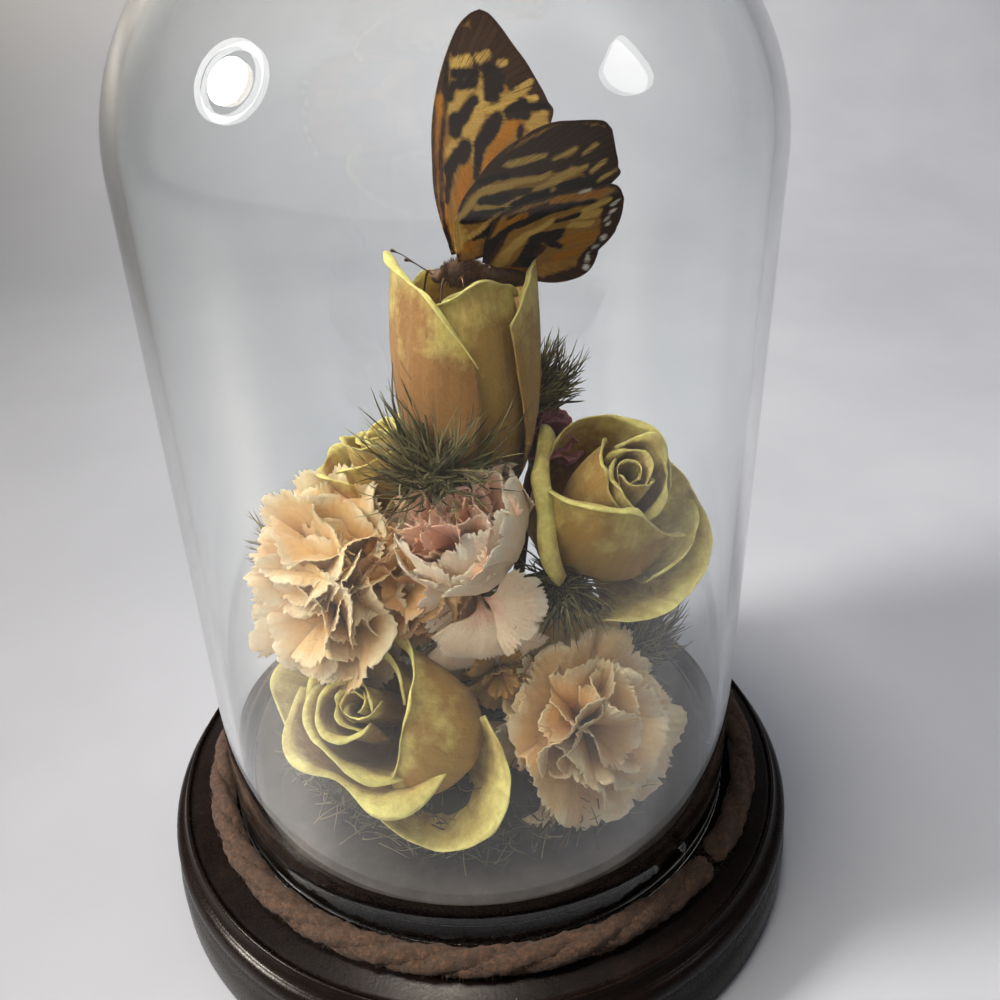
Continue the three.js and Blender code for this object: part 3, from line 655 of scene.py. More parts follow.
ROSES = {
    "top_rose": dict(
        foot=(1, 0.5, 62),
        faces=(-0.02, -0.03, 1),
        bud=(9.5, 45),
        petals=[
            outer(100, 82, 11.6, 10.4, 48, curl=60),
            outer(288, 74, 13.2, [9.5, 8, 9, 11], [46, 48.5, 50.5, 51], roll=[1.2, 2.2, 1.6, 1.2], curl=120),
            outer(
                216, 68, 14.6, [13.4, 10.8, 9.8, 12.4], [59, 53, 49.5, 41], roll=[1, 1.5, 1.5, 0.8],
                curl=140, tan=0.95,
            ),
            outer(20, 62, 15.4, [12.5, 14.5, 18.5, 18], [45, 51, 46, 36], roll=1.2, curl=70, point=0.05),
        ],
    ),
    "right_rose": dict(
        foot=(24, 3, 47.5),
        faces=(0.25, -0.55, 0.8),
        bud=(6, 37),
        petals=[
            outer(196, 80, 9.5, [8.6, 6.4, 5.8, 5.6], [37.5, 36.5, 34, 30], roll=0.9, curl=110),
            outer(22, 84, 10, [7, 7.8, 8, 6.6], [30.5, 34, 36, 37], roll=1.2, curl=120),
            outer(
                255, 78, 16.5, [15, 8.8, 7.4, 15.5], [29.5, 31.5, 32, 26.5], roll=[1.5, 2.5, 1.7, 1.5],
                curl=150,
            ),
            outer(
                78, 74, 13.5, [11.5, 12.5, 15, 16.5, 15.5], [32, 33, 31, 28.5, 25], roll=1.2, curl=60,
                lemon=0.4,
            ),
            outer(184, 54, 14.5, [17.5, 13.5, 17.5], [27, 25, 20], roll=[2.2, 2.7, 2.3], curl=230),
            outer(350, 48, 15.5, [18, 19.5, 16.5], [21, 23, 26], roll=1.3, curl=50, point=0.1, lemon=0.7),
            outer(
                321, 50, 18, [22.5, 24.5, 24, 17], [13, 17, 22, 27], roll=1.4, curl=45, point=0.05,
                lemon=0.6,
            ),
        ],
    ),
    "lower_rose": dict(
        foot=(-15, -14, 13.5),
        faces=(-0.34, -0.62, 0.71),
        bud=(5, 29),
        petals=[
            outer(196, 100, 7.5, [4.6, 6, 8, 7, 4.2], [29, 29.5, 29.5, 29, 28.5], roll=1, curl=130),
            outer(83, 88, 10.6, [9, 10.5, 11.6, 12.4, 14], [28, 28.5, 28, 26.5, 25], roll=1.2, curl=110),
            outer(222, 70, 11.5, [10, 11.4, 11, 12.6, 15], [27, 27, 26, 24, 22], roll=1.4, curl=120),
            outer(
                0, 80, [21, 26, 23, 15, 12], [15.5, 11.6, 12.2, 14.6, 14.4], [22, 26, 27.5, 27.5, 26],
                roll=[0.6, 0.8, 0.9, 1.7, 1], curl=140,
            ),
            outer(158, 42, 15, [15, 23, 18], [21, 22, 22], roll=[1, 1.6, 1], curl=70, point=0.1, lemon=0.5),
            outer(
                240, 80, 14, [15, 17.6, 15.5, 17.5, 19.5], [24, 24, 22, 19.5, 18.5],
                roll=[1.2, 1.6, 2.4, 4.6, 1.2], curl=[120, 120, 110, 95, 110], point=0.05,
            ),
            outer(
                310, 41, [20, 24, 21, 18], [21, 32.5, 32, 24.5], [18, 14, 14, 20], roll=2, curl=50,
                point=0, lemon=0.5,
            ),
        ],
    ),
    "back_rose": dict(
        foot=(-11, 7, 54.5),
        faces=(-0.35, 0.1, 0.93),
        bud=(6, 22),
        petals=[
            outer(200, 80, 7.8, 7.6, 22, curl=90),
            outer(20, 80, 9.4, 9.4, 21, curl=90),
            outer(280, 64, 11, 12, 20, curl=110),
            outer(180, 60, 12.6, 14.6, 19, curl=90, tan=0.9),
        ],
    ),
}


# ---------------------------------------------------------------- carnations and small flowers
def frilled_petal(form, matrix, rng, azimuth, rise, fall, length, fan=58, fold=0.13, lean=0, cup=0.0,
                  start=0.6, teeth=25, notch=0.09, blush=0.0, tone=0.5, across_steps=76, along_steps=9):
    """
    A broad fan with a finely toothed rim. It leaves the flower's axis at `rise` degrees above its plane and
    ends at `fall` degrees, bending evenly between. fan is half its opening, fold the depth of its large folds
    and cup the lift of its sides, both as shares of its length, and lean tips it sideways.
    """
    s, t = np.meshgrid(np.linspace(-1, 1, across_steps), np.linspace(0, 1, along_steps))
    along = 1 - (1 - t) ** 1.5
    uneven = 0.5 * np.sin(5 * s + tone * 9) + 0.2 * np.sin(19 * s + tone * 31)
    saw = np.abs((s * teeth / 2 + uneven) % 1 - 0.5) * 2
    ragged = np.clip(0.55 + 0.6 * ripples(rng, s, 0 * s, 4, 0), 0.1, 1.4)
    reach = 1 - 0.07 * np.abs(s) ** 3 - notch * saw * ragged + 0.045 * ripples(rng, s, 0 * s, 1.1, 0)
    rho = along * reach
    phi = np.radians(fan) * s * (0.3 + 0.7 * smooth(1.7 * rho))
    climb, aside = rho * np.cos(phi), rho * np.sin(phi)
    waves, phase = rng.uniform(0.55, 0.95), rng.random(2)
    folds = np.sin(TAU * (waves * s + phase[0])) + 0.45 * np.sin(TAU * (2.3 * waves * s + phase[1]))
    off = fold * folds * rho**1.6 + 0.012 * rho**4 * np.sin(TAU * teeth * 0.5 * s) + cup * aside**2
    bend = math.radians(fall - rise)
    angle = math.radians(rise) + bend * climb
    out = (np.sin(angle) - math.sin(math.radians(rise))) / bend - np.sin(angle) * off
    up = (math.cos(math.radians(rise)) - np.cos(angle)) / bend + np.cos(angle) * off
    up, aside = up + aside * math.sin(math.radians(lean)), aside * math.cos(math.radians(lean))
    around = math.radians(azimuth)
    radial = start + length * out
    x = radial * math.cos(around) - length * aside * math.sin(around)
    y = radial * math.sin(around) + length * aside * math.cos(around)
    points = placed(matrix, np.stack([x, y, length * up], -1))
    form.shell(points, 0.2, across=(s + 1) / 2, along=rho, tone=tone, tan=0.0, blush=blush)


# Each whorl: how many petals, the angles they leave and end at, their length and where they are seated.
FAN_WHORLS = [(6, 48, -24, 1.12, 0.0), (6, 62, 0, 1.08, 0.16), (5, 76, 26, 0.98, 0.3), (4, 88, 52, 0.8, 0.42)]


def make_carnation(name, heads, material, slot):
    """A flower of one or more heads, each made of whorls of broad fans, of single petals, or of both."""
    rng = seeded(name)
    form = Form()
    for head in heads:
        matrix = facing(head["foot"], head["faces"])
        radius = head["radius"]
        for count, rise, fall, share, seat in head.get("whorls", FAN_WHORLS):
            lifted = matrix.copy()
            lifted[:3, 3] += matrix[:3, 2] * seat * radius
            tint = head.get("blush", 0) * float(smooth((seat - head.get("blush_from", 0.1)) / 0.3))
            for k in range(count):
                frilled_petal(
                    form, lifted, rng,
                    azimuth=360 * (k + rng.uniform(-0.25, 0.25)) / count + 170 * seat,
                    rise=rise + rng.uniform(-8, 8),
                    fall=fall + rng.uniform(-16, 16),
                    length=radius * share * rng.uniform(0.9, 1.08),
                    fan=head.get("fan", 58) * rng.uniform(0.85, 1.1),
                    fold=head.get("fold", 0.13) * rng.uniform(0.7, 1.2),
                    lean=rng.uniform(-22, 22),
                    cup=rng.uniform(-0.15, 0.3),
                    teeth=head.get("teeth", 25),
                    notch=head.get("notch", 0.09),
                    blush=tint * rng.uniform(0.6, 1),
                    tone=rng.random(),
                    across_steps=head.get("across_steps", 76),
                )
        for settings in head.get("petals", []):
            frilled_petal(form, matrix, rng, tone=rng.random(), **settings)
    return form.piece(f"{name}_petals", material, slot, [name])


# ---------------------------------------------------------------- needles, moss and stems
def needle_paths(rng, root, axis, count, cover, length, bend, lift, steps=8):
    """Curved needles that leave a twig all round, leaning away from its axis; lift turns their tips up."""
    z = unit(axis)
    x = unit(np.cross(z, (0.2, 0.9, 0.4)))
    y = np.cross(z, x)
    tilt = np.radians(cover) * np.sqrt(rng.random(count))[:, None]
    turn = (GOLDEN_ANGLE * np.arange(count) + rng.uniform(-0.3, 0.3, count))[:, None]
    out = np.cos(turn) * x + np.sin(turn) * y
    direction = np.sin(tilt) * out + np.cos(tilt) * z
    reach = (length * rng.uniform(0.45, 1.0, count))[:, None, None]
    t = np.linspace(0, 1, steps)[None, :, None]
    swerve = bend * rng.uniform(0.3, 1.1, (count, 1)) * unit(np.cross(direction, rng.normal(size=(count, 3))))
    swerve += (0, 0, lift)
    curve = direction[:, None] * t * (1 - 0.15 * t) + swerve[:, None] * t**2
    start = np.asarray(root, float) + z * rng.uniform(-0.3, 0.15, (count, 1)) * length
    start += x * rng.normal(0, 2, (count, 1))
    return start[:, None] + reach * curve


def make_tuft(name, foot, faces, reach, cover, lift, count=240, bend=0.45):
    rng = seeded(name)
    matrix = facing(foot, faces)
    origin, axis = matrix[:3, 3], matrix[:3, 2]
    tuft = Form()
    paths = needle_paths(rng, origin, axis, count, cover, reach, bend, lift)
    tuft.threads(paths, rng.uniform(0.2, 0.34, count), tone=rng.random(count) ** 1.3)
    twig = spline([origin - axis * 8, origin - axis * 3 + 0.4, origin + axis * reach * 0.3], 8)
    tuft.tube(twig, 0.7, 6, tone=0.2)
    green = dry_needles("dry_grey_green_needles", "#3a3a20", "#aca474")
    return tuft.piece(f"{name}_needles", green, "needles", [name])


TUFTS = {
    "needle_tuft_centre": dict(
        foot=(-6, -13, 76), faces=(-0.1, -0.6, 0.8), reach=19, cover=95, lift=0.3, count=400, bend=0.6,
    ),
    "needle_tuft_back": dict(foot=(16, 6, 83.5), faces=(0.5, 0.1, 0.8), reach=13, cover=55, lift=0.3),
    "needle_tuft_middle": dict(
        foot=(18.5, -15, 49), faces=(0.05, -0.95, 0.2), reach=14, cover=95, lift=-0.2, count=320,
    ),
    "needle_tuft_left": dict(foot=(-40, 2, 49.5), faces=(-1, 0.1, 0.15), reach=12, cover=60, lift=0.3),
    "needle_tuft_right": dict(foot=(38, -6, 23.5), faces=(0.9, 0.1, 0.5), reach=15, cover=60, lift=0.4),
}

MOSS_OUTER = 49
MOSS_INNER = 23
MOSS_CROWN = 14
MOSS_THREADS = 2800
THREAD_LENGTHS = 4, 13


def moss_height(radius):
    """The heap's height above the platform at a radius."""
    share = np.clip((radius - MOSS_INNER) / (MOSS_OUTER - MOSS_INNER), 0, 1)
    return np.interp(share, [0, 0.3, 0.72, 1], [MOSS_CROWN * 0.8, MOSS_CROWN, MOSS_CROWN * 0.55, 2.6])


def make_moss():
    rng = np.random.default_rng(11)
    moss = Form()
    count, steps = MOSS_THREADS, 8
    radius = np.sqrt(rng.uniform(12**2, (MOSS_OUTER - 3) ** 2, count))
    angle = rng.uniform(0, TAU, count)
    height = rng.uniform(0.05, 1, count) * moss_height(radius)
    start = np.stack([radius * np.cos(angle), radius * np.sin(angle), height], -1)
    heading = unit(rng.normal(size=(count, 3)) * (1, 1, 0.45))
    swerve = unit(rng.normal(size=(count, 3)) * (1, 1, 0.6))
    t = np.linspace(-0.5, 0.5, steps)[None, :, None]
    length = rng.uniform(*THREAD_LENGTHS, (count, 1, 1))
    bent = swerve[:, None] * (t**2 - 0.08) * rng.uniform(0.3, 1.6, (count, 1, 1))
    paths = start[:, None] + length * (heading[:, None] * t + bent)
    far = np.linalg.norm(paths[..., :2], axis=-1)
    pull = np.minimum(1, (MOSS_OUTER + 1) / np.maximum(far, 1e-6))
    paths[..., :2] *= pull[..., None]
    far = np.linalg.norm(paths[..., :2], axis=-1)
    paths[..., 2] = np.clip(paths[..., 2], 0.3, moss_height(far) + 2.5) + PLATFORM_HEIGHT
    moss.threads(paths, rng.uniform(0.1, 0.2, count), tone=rng.random(count))
    reach = np.concatenate([np.linspace(MOSS_OUTER - 7, 0.5, 40), [0]])
    least = PLATFORM_HEIGHT + 0.3
    heap = 0.8 * moss_height(reach) * smooth((MOSS_OUTER - 6.8 - reach) / 6)
    mound = turned(np.stack([reach, least + heap], 1))
    x, y = mound[..., 0], mound[..., 1]
    lumps = ripples(rng, x / 9, y / 9, 1, 1) + 0.6 * ripples(rng, x / 3, y / 3, 1, 1)
    mound[..., 2] = np.maximum(mound[..., 2] + 0.9 * lumps, least)
    moss.grid(mound, wrap_u=True, tone=0.08)
    return moss.piece("loose_moss", dry_needles("dry_moss", "#2c2a1c", "#827a5c"), "moss", ["moss_bed"])


STALK_STEPS = 40
ROSE_STALK, ROSE_CUP = 1.8, 4.6
OTHER_STALK, OTHER_CUP = 1.4, 3.0


def make_stems():
    """Each stalk goes from its flower down to the platform, with the cup that holds the petals."""
    rng = np.random.default_rng(5)
    stalks, cups = Form(), Form()
    nodes = []
    for name, flower in [*ROSES.items(), *((key, heads[0]) for key, heads in CARNATIONS.items())]:
        matrix = facing(flower["foot"], flower["faces"])
        thick, cup = (ROSE_STALK, ROSE_CUP) if name in ROSES else (OTHER_STALK, OTHER_CUP)
        top, below = (placed(matrix, np.array([0, 0, z])) for z in (-0.6, -9.0))
        end = np.array([below[0] * 0.45, below[1] * 0.45, PLATFORM_HEIGHT + GAP])
        path = spline([top, below, (below + end) / 2, end], STALK_STEPS)
        path[2:-2, :2] += rng.normal(0, 0.06, (STALK_STEPS - 4, 2))
        knots = 1 + 0.12 * np.exp(-((np.linspace(0, 1, STALK_STEPS) * 4 % 1 - 0.5) ** 2) / 0.01)
        stalks.tube(path, thick * knots, 10, tone=rng.random())
        profile = [
            (0, -4.5), (thick + 0.4, -4.2), (cup * 0.9, -2.2), (cup, -1.4), (cup * 0.6, -0.9), (0, -0.8),
        ]
        cups.grid(placed(matrix, turned(profile, 24)), wrap_u=True)
        nodes.append(f"{name}_stem")
    stalks.piece("dry_stalks", mottled(**DRY_STEM), "stem", nodes)
    cups.piece("flower_cups", mottled(**DRY_SEPAL), "stem", [])


# ---------------------------------------------------------------- butterfly
BUTTERFLY_SEAT = (1.1, -2, 113.7)
BUTTERFLY_HEADING = math.radians(25)
RIGHT_WING_LEAN = math.radians(13)
LEFT_WING_LEAN = math.radians(40)

butterfly = np.eye(4)
about = math.pi + BUTTERFLY_HEADING
butterfly[:2, :2] = [[math.cos(about), -math.sin(about)], [math.sin(about), math.cos(about)]]
butterfly[:3, 3] = np.array(BUTTERFLY_SEAT) + (0, 0, PLATFORM_HEIGHT)

RIGHT_FOREWING = [
    (1.4, 3.4), (3.2, 14.2), (1.9, 26.5), (-1.1, 34.7), (-5.4, 42), (-8.4, 44.6), (-10.9, 45.4),
    (-13.2, 44), (-17.2, 38.4), (-20, 34), (-22.6, 28.5), (-23.1, 24.8), (-13.5, 12.5), (-3, 3.4),
]
LEFT_FOREWING = [
    (1.6, 3.4), (5.6, 15), (6.3, 22), (4.8, 29.4), (1.7, 35.3), (-4, 39.8), (-9, 40.2), (-14.6, 39.2),
    (-17.6, 36.8), (-20.6, 31.6), (-23.4, 26.6), (-24.8, 21.5), (-13, 10.5), (-3, 3.4),
]
HINDWING = [
    (-3.2, 3.2), (-1.4, 12), (-2.6, 19.2), (-10, 22.4), (-20, 23), (-25.4, 21.2), (-29.6, 16),
    (-32.9, 7), (-32.6, 0.6), (-29.6, -4.4), (-24, -6), (-16.5, -4.8), (-8, 0),
]


def wing_frame(side, lean, layer):
    """A wing's plane: first axis to the head, second outwards from the hinge, third off the plane."""
    out = np.array([0, side * math.sin(lean), math.cos(lean)])
    along = np.array([1.0, 0, 0])
    off = np.cross(along, out)
    hinge = np.eye(4)
    hinge[:3, :3] = np.stack([along, out, off], 1)
    hinge[:3, 3] = off * (-side * layer)
    return butterfly @ hinge


# Markings: round-ended strokes in the plane of the wing, each from (x, y, radius) to (x, y, radius).
RIGHT_FOREWING_MARKS = dict(
    brown=[
        (-12.5, 41.5, 4.1, -20.5, 32, 2.2), (-6.5, 40, 2.9, -16.5, 33.5, 2.6), (-1.5, 35.5, 1.1, -2, 31, 0.7),
        (-19.5, 31.5, 1.6, -22.5, 28.5, 1.6), (-13, 35.5, 1.5, -16, 32.5, 1.9), (0.2, 31, 0.5, 3.4, 14, 0.4),
    ],
    cream=[
        (-4.5, 36.5, 0.9, -7, 37, 0.9), (-9.5, 37, 0.8, -11, 37.5, 0.7), (-13.5, 36, 0.5, -14.5, 36, 0.5),
        (-8.5, 33, 0.6, -5, 31.5, 0.8), (-5, 31.5, 0.9, -3, 29.5, 0.9), (-3, 29.5, 0.7, -2, 28.5, 0.4),
        (-8.5, 31, 0.7, -7.5, 27, 1.1), (-9.5, 28.5, 1, -12.5, 28.5, 0.8), (-12.5, 29, 0.8, -16, 30, 0.7),
        (-16, 30, 0.8, -19.5, 32, 0.5), (-12.5, 30.5, 0.6, -12.5, 32, 0.4), (-7, 26.5, 1.1, -6.5, 25.5, 0.6),
        (-6, 25.5, 0.8, -2.5, 24, 0.8), (-2.5, 23.5, 0.6, -0.5, 21.5, 0.6), (-6, 24.5, 0.6, -5.5, 19, 0.25),
        (-18.5, 24.5, 1.2, -21, 26, 0.9), (-19.5, 23.5, 0.6, -21.5, 24, 0.6), (-18, 28.5, 0.6, -20, 29, 0.5),
    ],
    orange=[
        (-15, 25, 1, -11.5, 22.5, 1.1), (-11.5, 22.5, 1, -7, 18, 0.7), (-0.5, 31, 0.6, 1, 22, 0.6),
        (1, 22, 0.6, 2, 9, 0.6), (-4, 18, 0.8, -1.5, 13, 0.7),
    ],
    dark=[
        (-4, 35, 0.7, -8, 34.5, 0.9), (-3.5, 33, 0.7, -7.5, 33, 0.9), (-3, 32.5, 0.6, -2.5, 31, 0.6),
        (-11, 35, 1.1, -11, 30.5, 1.4), (-12.5, 33.5, 1.3, -12.5, 31.5, 1), (-7, 30, 0.8, -4, 27, 1.1),
        (-3, 27, 1.3, -2.5, 25, 1.1), (-14, 27, 1, -17, 28, 1.2), (-17, 27.5, 1, -22.5, 27.5, 0.5),
        (-15.5, 26.5, 0.8, -17.5, 26, 0.6), (-11.5, 26.5, 1, -10, 25, 1.5), (-9.5, 24.5, 1.5, -7, 22, 1.2),
        (-7, 22, 1, -5.5, 16.5, 0.5), (-4, 22, 1.3, -3, 20.5, 1.3), (-2.5, 21, 1.1, 0, 18.5, 1),
        (-0.5, 19, 0.8, 1, 13, 0.3), (-16, 24, 0.6, -15.5, 22.5, 0.6), (-3, 37, 0.2, -1.5, 30.5, 0.2),
        (-1.5, 30.5, 0.2, 1, 21.5, 0.3), (1, 21.5, 0.3, 2, 12.5, 0.2), (2, 12.5, 0.2, 1.5, 5, 0.2),
    ],
    white=[],
)
LEFT_FOREWING_MARKS = dict(
    brown=[
        (1, 31.5, 2.4, -8, 36, 3.9), (-8, 36, 3.9, -16.5, 32.5, 4.6), (5.5, 25.5, 0.8, 1, 31.5, 2.5),
        (-19, 28, 3.3, -22, 23.5, 2.7), (1, 29.5, 1.5, -10.5, 30, 2), (-1, 22.5, 2.1, -22, 22, 1.6),
        (2.5, 18, 2.2, -2.5, 17.5, 1.9), (1, 10, 0.9, -4, 14.5, 1.7), (-5, 15, 2, -16, 20, 2.4),
    ],
    cream=[
        (0, 31.5, 0.7, -3, 32, 0.9), (-3, 32, 0.9, -6, 32.5, 0.5), (-8.5, 31.5, 0.4, -11.5, 33, 0.6),
        (-14, 32, 0.3, -15.5, 33.5, 0.4), (3, 25, 1, -2, 26, 0.8), (-2, 26.5, 0.7, -7.5, 27, 0.6),
        (-7.5, 27, 0.5, -8.5, 28, 0.4), (-7.5, 24, 0.5, -11.5, 25.5, 0.8), (-10, 26, 0.8, -13.5, 27.5, 1),
        (-13, 27.5, 0.9, -15.5, 28, 0.7), (-18, 26.5, 0.5, -19.5, 28.5, 0.6),
        (-21, 23.5, 0.5, -23.5, 25, 0.4),
        (2.5, 20.5, 0.7, -2.5, 19, 0.5), (-2, 19.5, 0.6, -4.5, 21.5, 0.5), (-4.5, 21.5, 0.5, -11, 23, 0.5),
        (4, 10.5, 0.6, 5.5, 18.5, 0.7), (5.5, 18.5, 0.6, 3.5, 24, 0.7), (3.5, 24, 0.6, 2, 25.5, 0.8),
        (2, 10.5, 0.9, -1, 14.5, 0.9), (-1, 14.5, 0.7, -3.5, 18.5, 0.7), (2.5, 7, 0.6, 3.5, 13.5, 0.6),
    ],
    orange=[(1, 7, 0.9, 0, 11, 0.9)],
    dark=[
        (2, 22.5, 1.2, -1.5, 22.5, 1.2), (-4.5, 20.5, 0.8, -7, 21, 1.2), (-6.5, 21.5, 1.2, -10, 22.5, 0.8),
        (-12.5, 24, 0.7, -15.5, 24.5, 1.2), (-15.5, 24.5, 1.2, -19.5, 24.5, 0.7), (4, 17, 1, 1.5, 18, 1.1),
        (1.5, 18, 0.8, -2.5, 19, 0.5), (-5, 19, 0.6, -3, 15, 0.8), (-3, 15, 0.9, 0, 10, 0.6),
        (-22, 21, 0.9, -26, 20, 0.6), (0, 28.5, 0.8, 4.5, 28, 0.5),
    ],
    white=[],
)
HINDWING_MARKS = dict(
    brown=[
        (-26, 17, 2.2, -31.5, 7, 2.5), (-31.5, 7, 2.7, -31.5, 1, 2.1), (-31.5, 1, 2.1, -27, -5, 1.6),
        (-27, -5, 1.5, -18.5, -5, 0.7), (-4.5, 17.5, 0.8, -11, 19.5, 1.1), (-11, 19.5, 1.1, -21.5, 21.5, 0.6),
        (-12, 0.5, 2, -14.5, 4, 2), (-3, 3, 1.9, -4.5, 11, 1.3),
    ],
    cream=[
        (-21, 15, 1.2, -24.5, 17, 1.2), (-19.5, 13.5, 1.1, -24.5, 13, 1.1), (-7.5, 6, 1.3, -11, 11, 1.1),
        (-11, 11, 0.9, -14, 14, 0.7), (-7.5, 2, 1.3, -7.5, 6, 1.3), (-20, 10.5, 0.8, -24.5, 9.5, 0.8),
    ],
    orange=[
        (-12, 21, 0.9, -22, 20.5, 1), (-21.5, 0, 1.7, -25.5, 1, 1.4), (-8, -0.5, 1.3, -13, -2, 1),
        (-20.5, 5.5, 1.3, -27.5, 4.5, 1.3), (-3.5, 14, 0.7, -6.5, 17.5, 0.9),
    ],
    dark=[
        (-6, 14, 1.2, -10.5, 17, 1.5), (-10.5, 17, 1.3, -14.5, 18, 1.1), (-14.5, 18, 0.9, -21.5, 18, 0.5),
        (-5.5, 13, 1, -3, 10, 1.2), (-3, 10, 1.2, -2.5, 5.5, 1.4), (-15.5, 13.5, 0.7, -19.5, 14, 0.7),
        (-13, 9, 1.7, -17.5, 8.5, 1.6), (-13, 6.5, 1.6, -12.5, 3, 1.6), (-12.5, 3, 1.6, -14.5, 0, 1),
        (-16.5, 6.5, 0.8, -20, 4, 0.5),
    ],
    white=[
        (-27.5, 15, 0.5, -28, 15.5, 0.4), (-28.5, 12.5, 0.6, -28.5, 12, 0.5), (-30, 7.5, 0.4, -30, 7.5, 0.3),
        (-30.5, 3.5, 0.6, -31, 2.5, 0.5), (-30, 0, 0.5, -30.5, 0, 0.4), (-29, -2, 0.4, -29, -2, 0.4),
        (-28.5, -4, 0.4, -28, -4, 0.4), (-17, 22.3, 0.3, -18.5, 22.3, 0.3), (-28.5, 10, 0.3, -28.5, 9.5, 0.3),
    ],
)
WING_MARGIN = 0.7
WING_COLUMNS = 96
WING_ROWS = 62
MARK_REACH = 3


def depth_inside(x, y, strokes):
    """How far each point lies inside the nearest of some tapered round-ended strokes, in millimetres."""
    most = np.full_like(x, -MARK_REACH)
    for x0, y0, r0, x1, y1, r1 in strokes:
        dx, dy = x1 - x0, y1 - y0
        t = np.clip(((x - x0) * dx + (y - y0) * dy) / max(dx * dx + dy * dy, 1e-6), 0, 1)
        most = np.maximum(most, mix(r0, r1, t) - np.hypot(x - x0 - t * dx, y - y0 - t * dy))
    return most


def make_wing(name, outline, apex, side, lean, layer, marks, hub):
    """
    A thin wing, ruled between its two edges from the hinge to the outline's apex, and ribbed about its hub.
    side is 1 for left. layer is how far outside the forewing it stands, so that the two don't meet.
    """
    rng = np.random.default_rng(len(name))
    lead = spline([(*p, 0) for p in outline[: apex + 1]], WING_COLUMNS)[:, :2]
    trail = spline([(*p, 0) for p in outline[:apex - 1 - len(outline) : -1]], WING_COLUMNS)[:, :2]
    v = np.linspace(0, 1, WING_ROWS)[:, None, None]
    plane = mix(lead, trail, v)
    edge = np.concatenate([lead, trail])[::2]
    inset = np.min(np.linalg.norm(plane[:, :, None] - edge, axis=-1), axis=2)
    x, y = plane[..., 0], plane[..., 1]
    values = {kind: depth_inside(x, y, strokes) for kind, strokes in marks.items()}
    values["brown"] = np.maximum(values["brown"], WING_MARGIN - inset)
    values["ray"] = np.arctan2(y - hub[1], hub[0] - x)
    values["reach"] = np.hypot(x - hub[0], y - hub[1])
    ribs = np.cos(WING_RIBS * values["ray"]) * smooth(values["reach"] / 6) * smooth(inset / 2)
    bow = 0.5 * np.sin(x * 0.12) + 0.35 * np.sin(y * 0.16 + 1) + 0.07 * ribs
    bow += 0.1 * ripples(rng, x / 8, y / 8, 1, 1)
    points = placed(wing_frame(side, lean, layer), np.stack([x, y, bow], -1))
    wing = Form()
    wing.shell(points, 0.14, **values)
    return wing.piece(f"{name}_scales", WING_MATERIAL, "wing", [name])


ABDOMEN_LENGTH = 16.4
ABDOMEN_DROOP = math.radians(17)
BODY_HAIRS = 1500
LEGS = [
    [(3.4, 1.2, -1), (5.6, 3.4, 0.2), (6.8, 4.2, -4.2)],
    [(3.4, -1.2, -1), (5.4, -3.4, 0.2), (6.2, -4.4, -4)],
    [(1.6, 1.4, -1), (2, 4.6, 0.2), (2.4, 5.6, -5)],
    [(1.6, -1.4, -1), (2, -4.6, 0.2), (2.2, -5.6, -5)],
]


def ellipsoid(centre, radii, sides=24, rows=14):
    a, b = np.meshgrid(
        np.linspace(0, TAU, sides, endpoint=False), np.linspace(-math.pi / 2, math.pi / 2, rows),
    )
    ball = np.stack([np.cos(b) * np.cos(a), np.cos(b) * np.sin(a), np.sin(b)], -1)
    return np.asarray(centre, float) + ball * radii


def make_butterfly_body():
    rng = np.random.default_rng(21)
    body, hair = Form(), Form()
    add = lambda points, **values: body.grid(placed(butterfly, points), wrap_u=True, **values)
    add(ellipsoid((0, 0, 0), (3.9, 2.3, 2.4)))
    add(ellipsoid((4.9, 0, 0.1), (1.5, 1.5, 1.4)))
    for side in (-1, 1):
        add(ellipsoid((5.4, side * 1.05, 0.3), (0.75, 0.6, 0.85)))
    rings = np.linspace(0, 1, 40)
    back = ABDOMEN_LENGTH * rings
    middle = np.stack([-0.6 - back * math.cos(ABDOMEN_DROOP), 0 * rings, -back * math.sin(ABDOMEN_DROOP)], -1)
    girth = np.interp(rings, [0, 0.35, 0.7, 0.95, 1], [1.5, 2.0, 1.75, 0.8, 0.3])
    girth *= 1 + 0.06 * np.abs(np.sin(rings * math.pi * 8))
    body.tube(placed(butterfly, middle), girth, 16)
    for leg in LEGS:
        body.tube(placed(butterfly, spline(leg, 12)), np.linspace(0.34, 0.16, 12), 6)
    body.piece("butterfly_cuticle", mottled(**INSECT_CUTICLE), "insect_body", ["butterfly_body"])
    count = BODY_HAIRS
    on = unit(rng.normal(size=(count, 3)))
    start = on * (3.8, 2.2, 2.3)
    tip = start + unit(on + (-0.5, 0, 0)) * rng.uniform(0.5, 1.3, (count, 1))
    bent = (start + tip) / 2 + on * 0.15
    hair.threads(placed(butterfly, np.stack([start, bent, tip], 1)), 0.05, tone=rng.random(count))
    hair.piece("butterfly_hairs", insect_hair(), "insect_body", [])
    for side, name in ((1, "left"), (-1, "right")):
        antenna = Form()
        bends = [(6.35, 0.55, 0.9), (9, 1.9, 3), (11, 2.8, 4.6), (12.8, 3.3, 5.6)]
        path = spline([(x, side * y, z) for x, y, z in bends], 30)
        thick = 0.1 + 0.2 * smooth((np.linspace(0, 1, 30) - 0.8) / 0.15)
        antenna.tube(placed(butterfly, path), thick, 7)
        antenna.piece(f"antenna_{name}_feeler", mottled(**INSECT_CUTICLE), "insect_body", [f"antenna_{name}"])


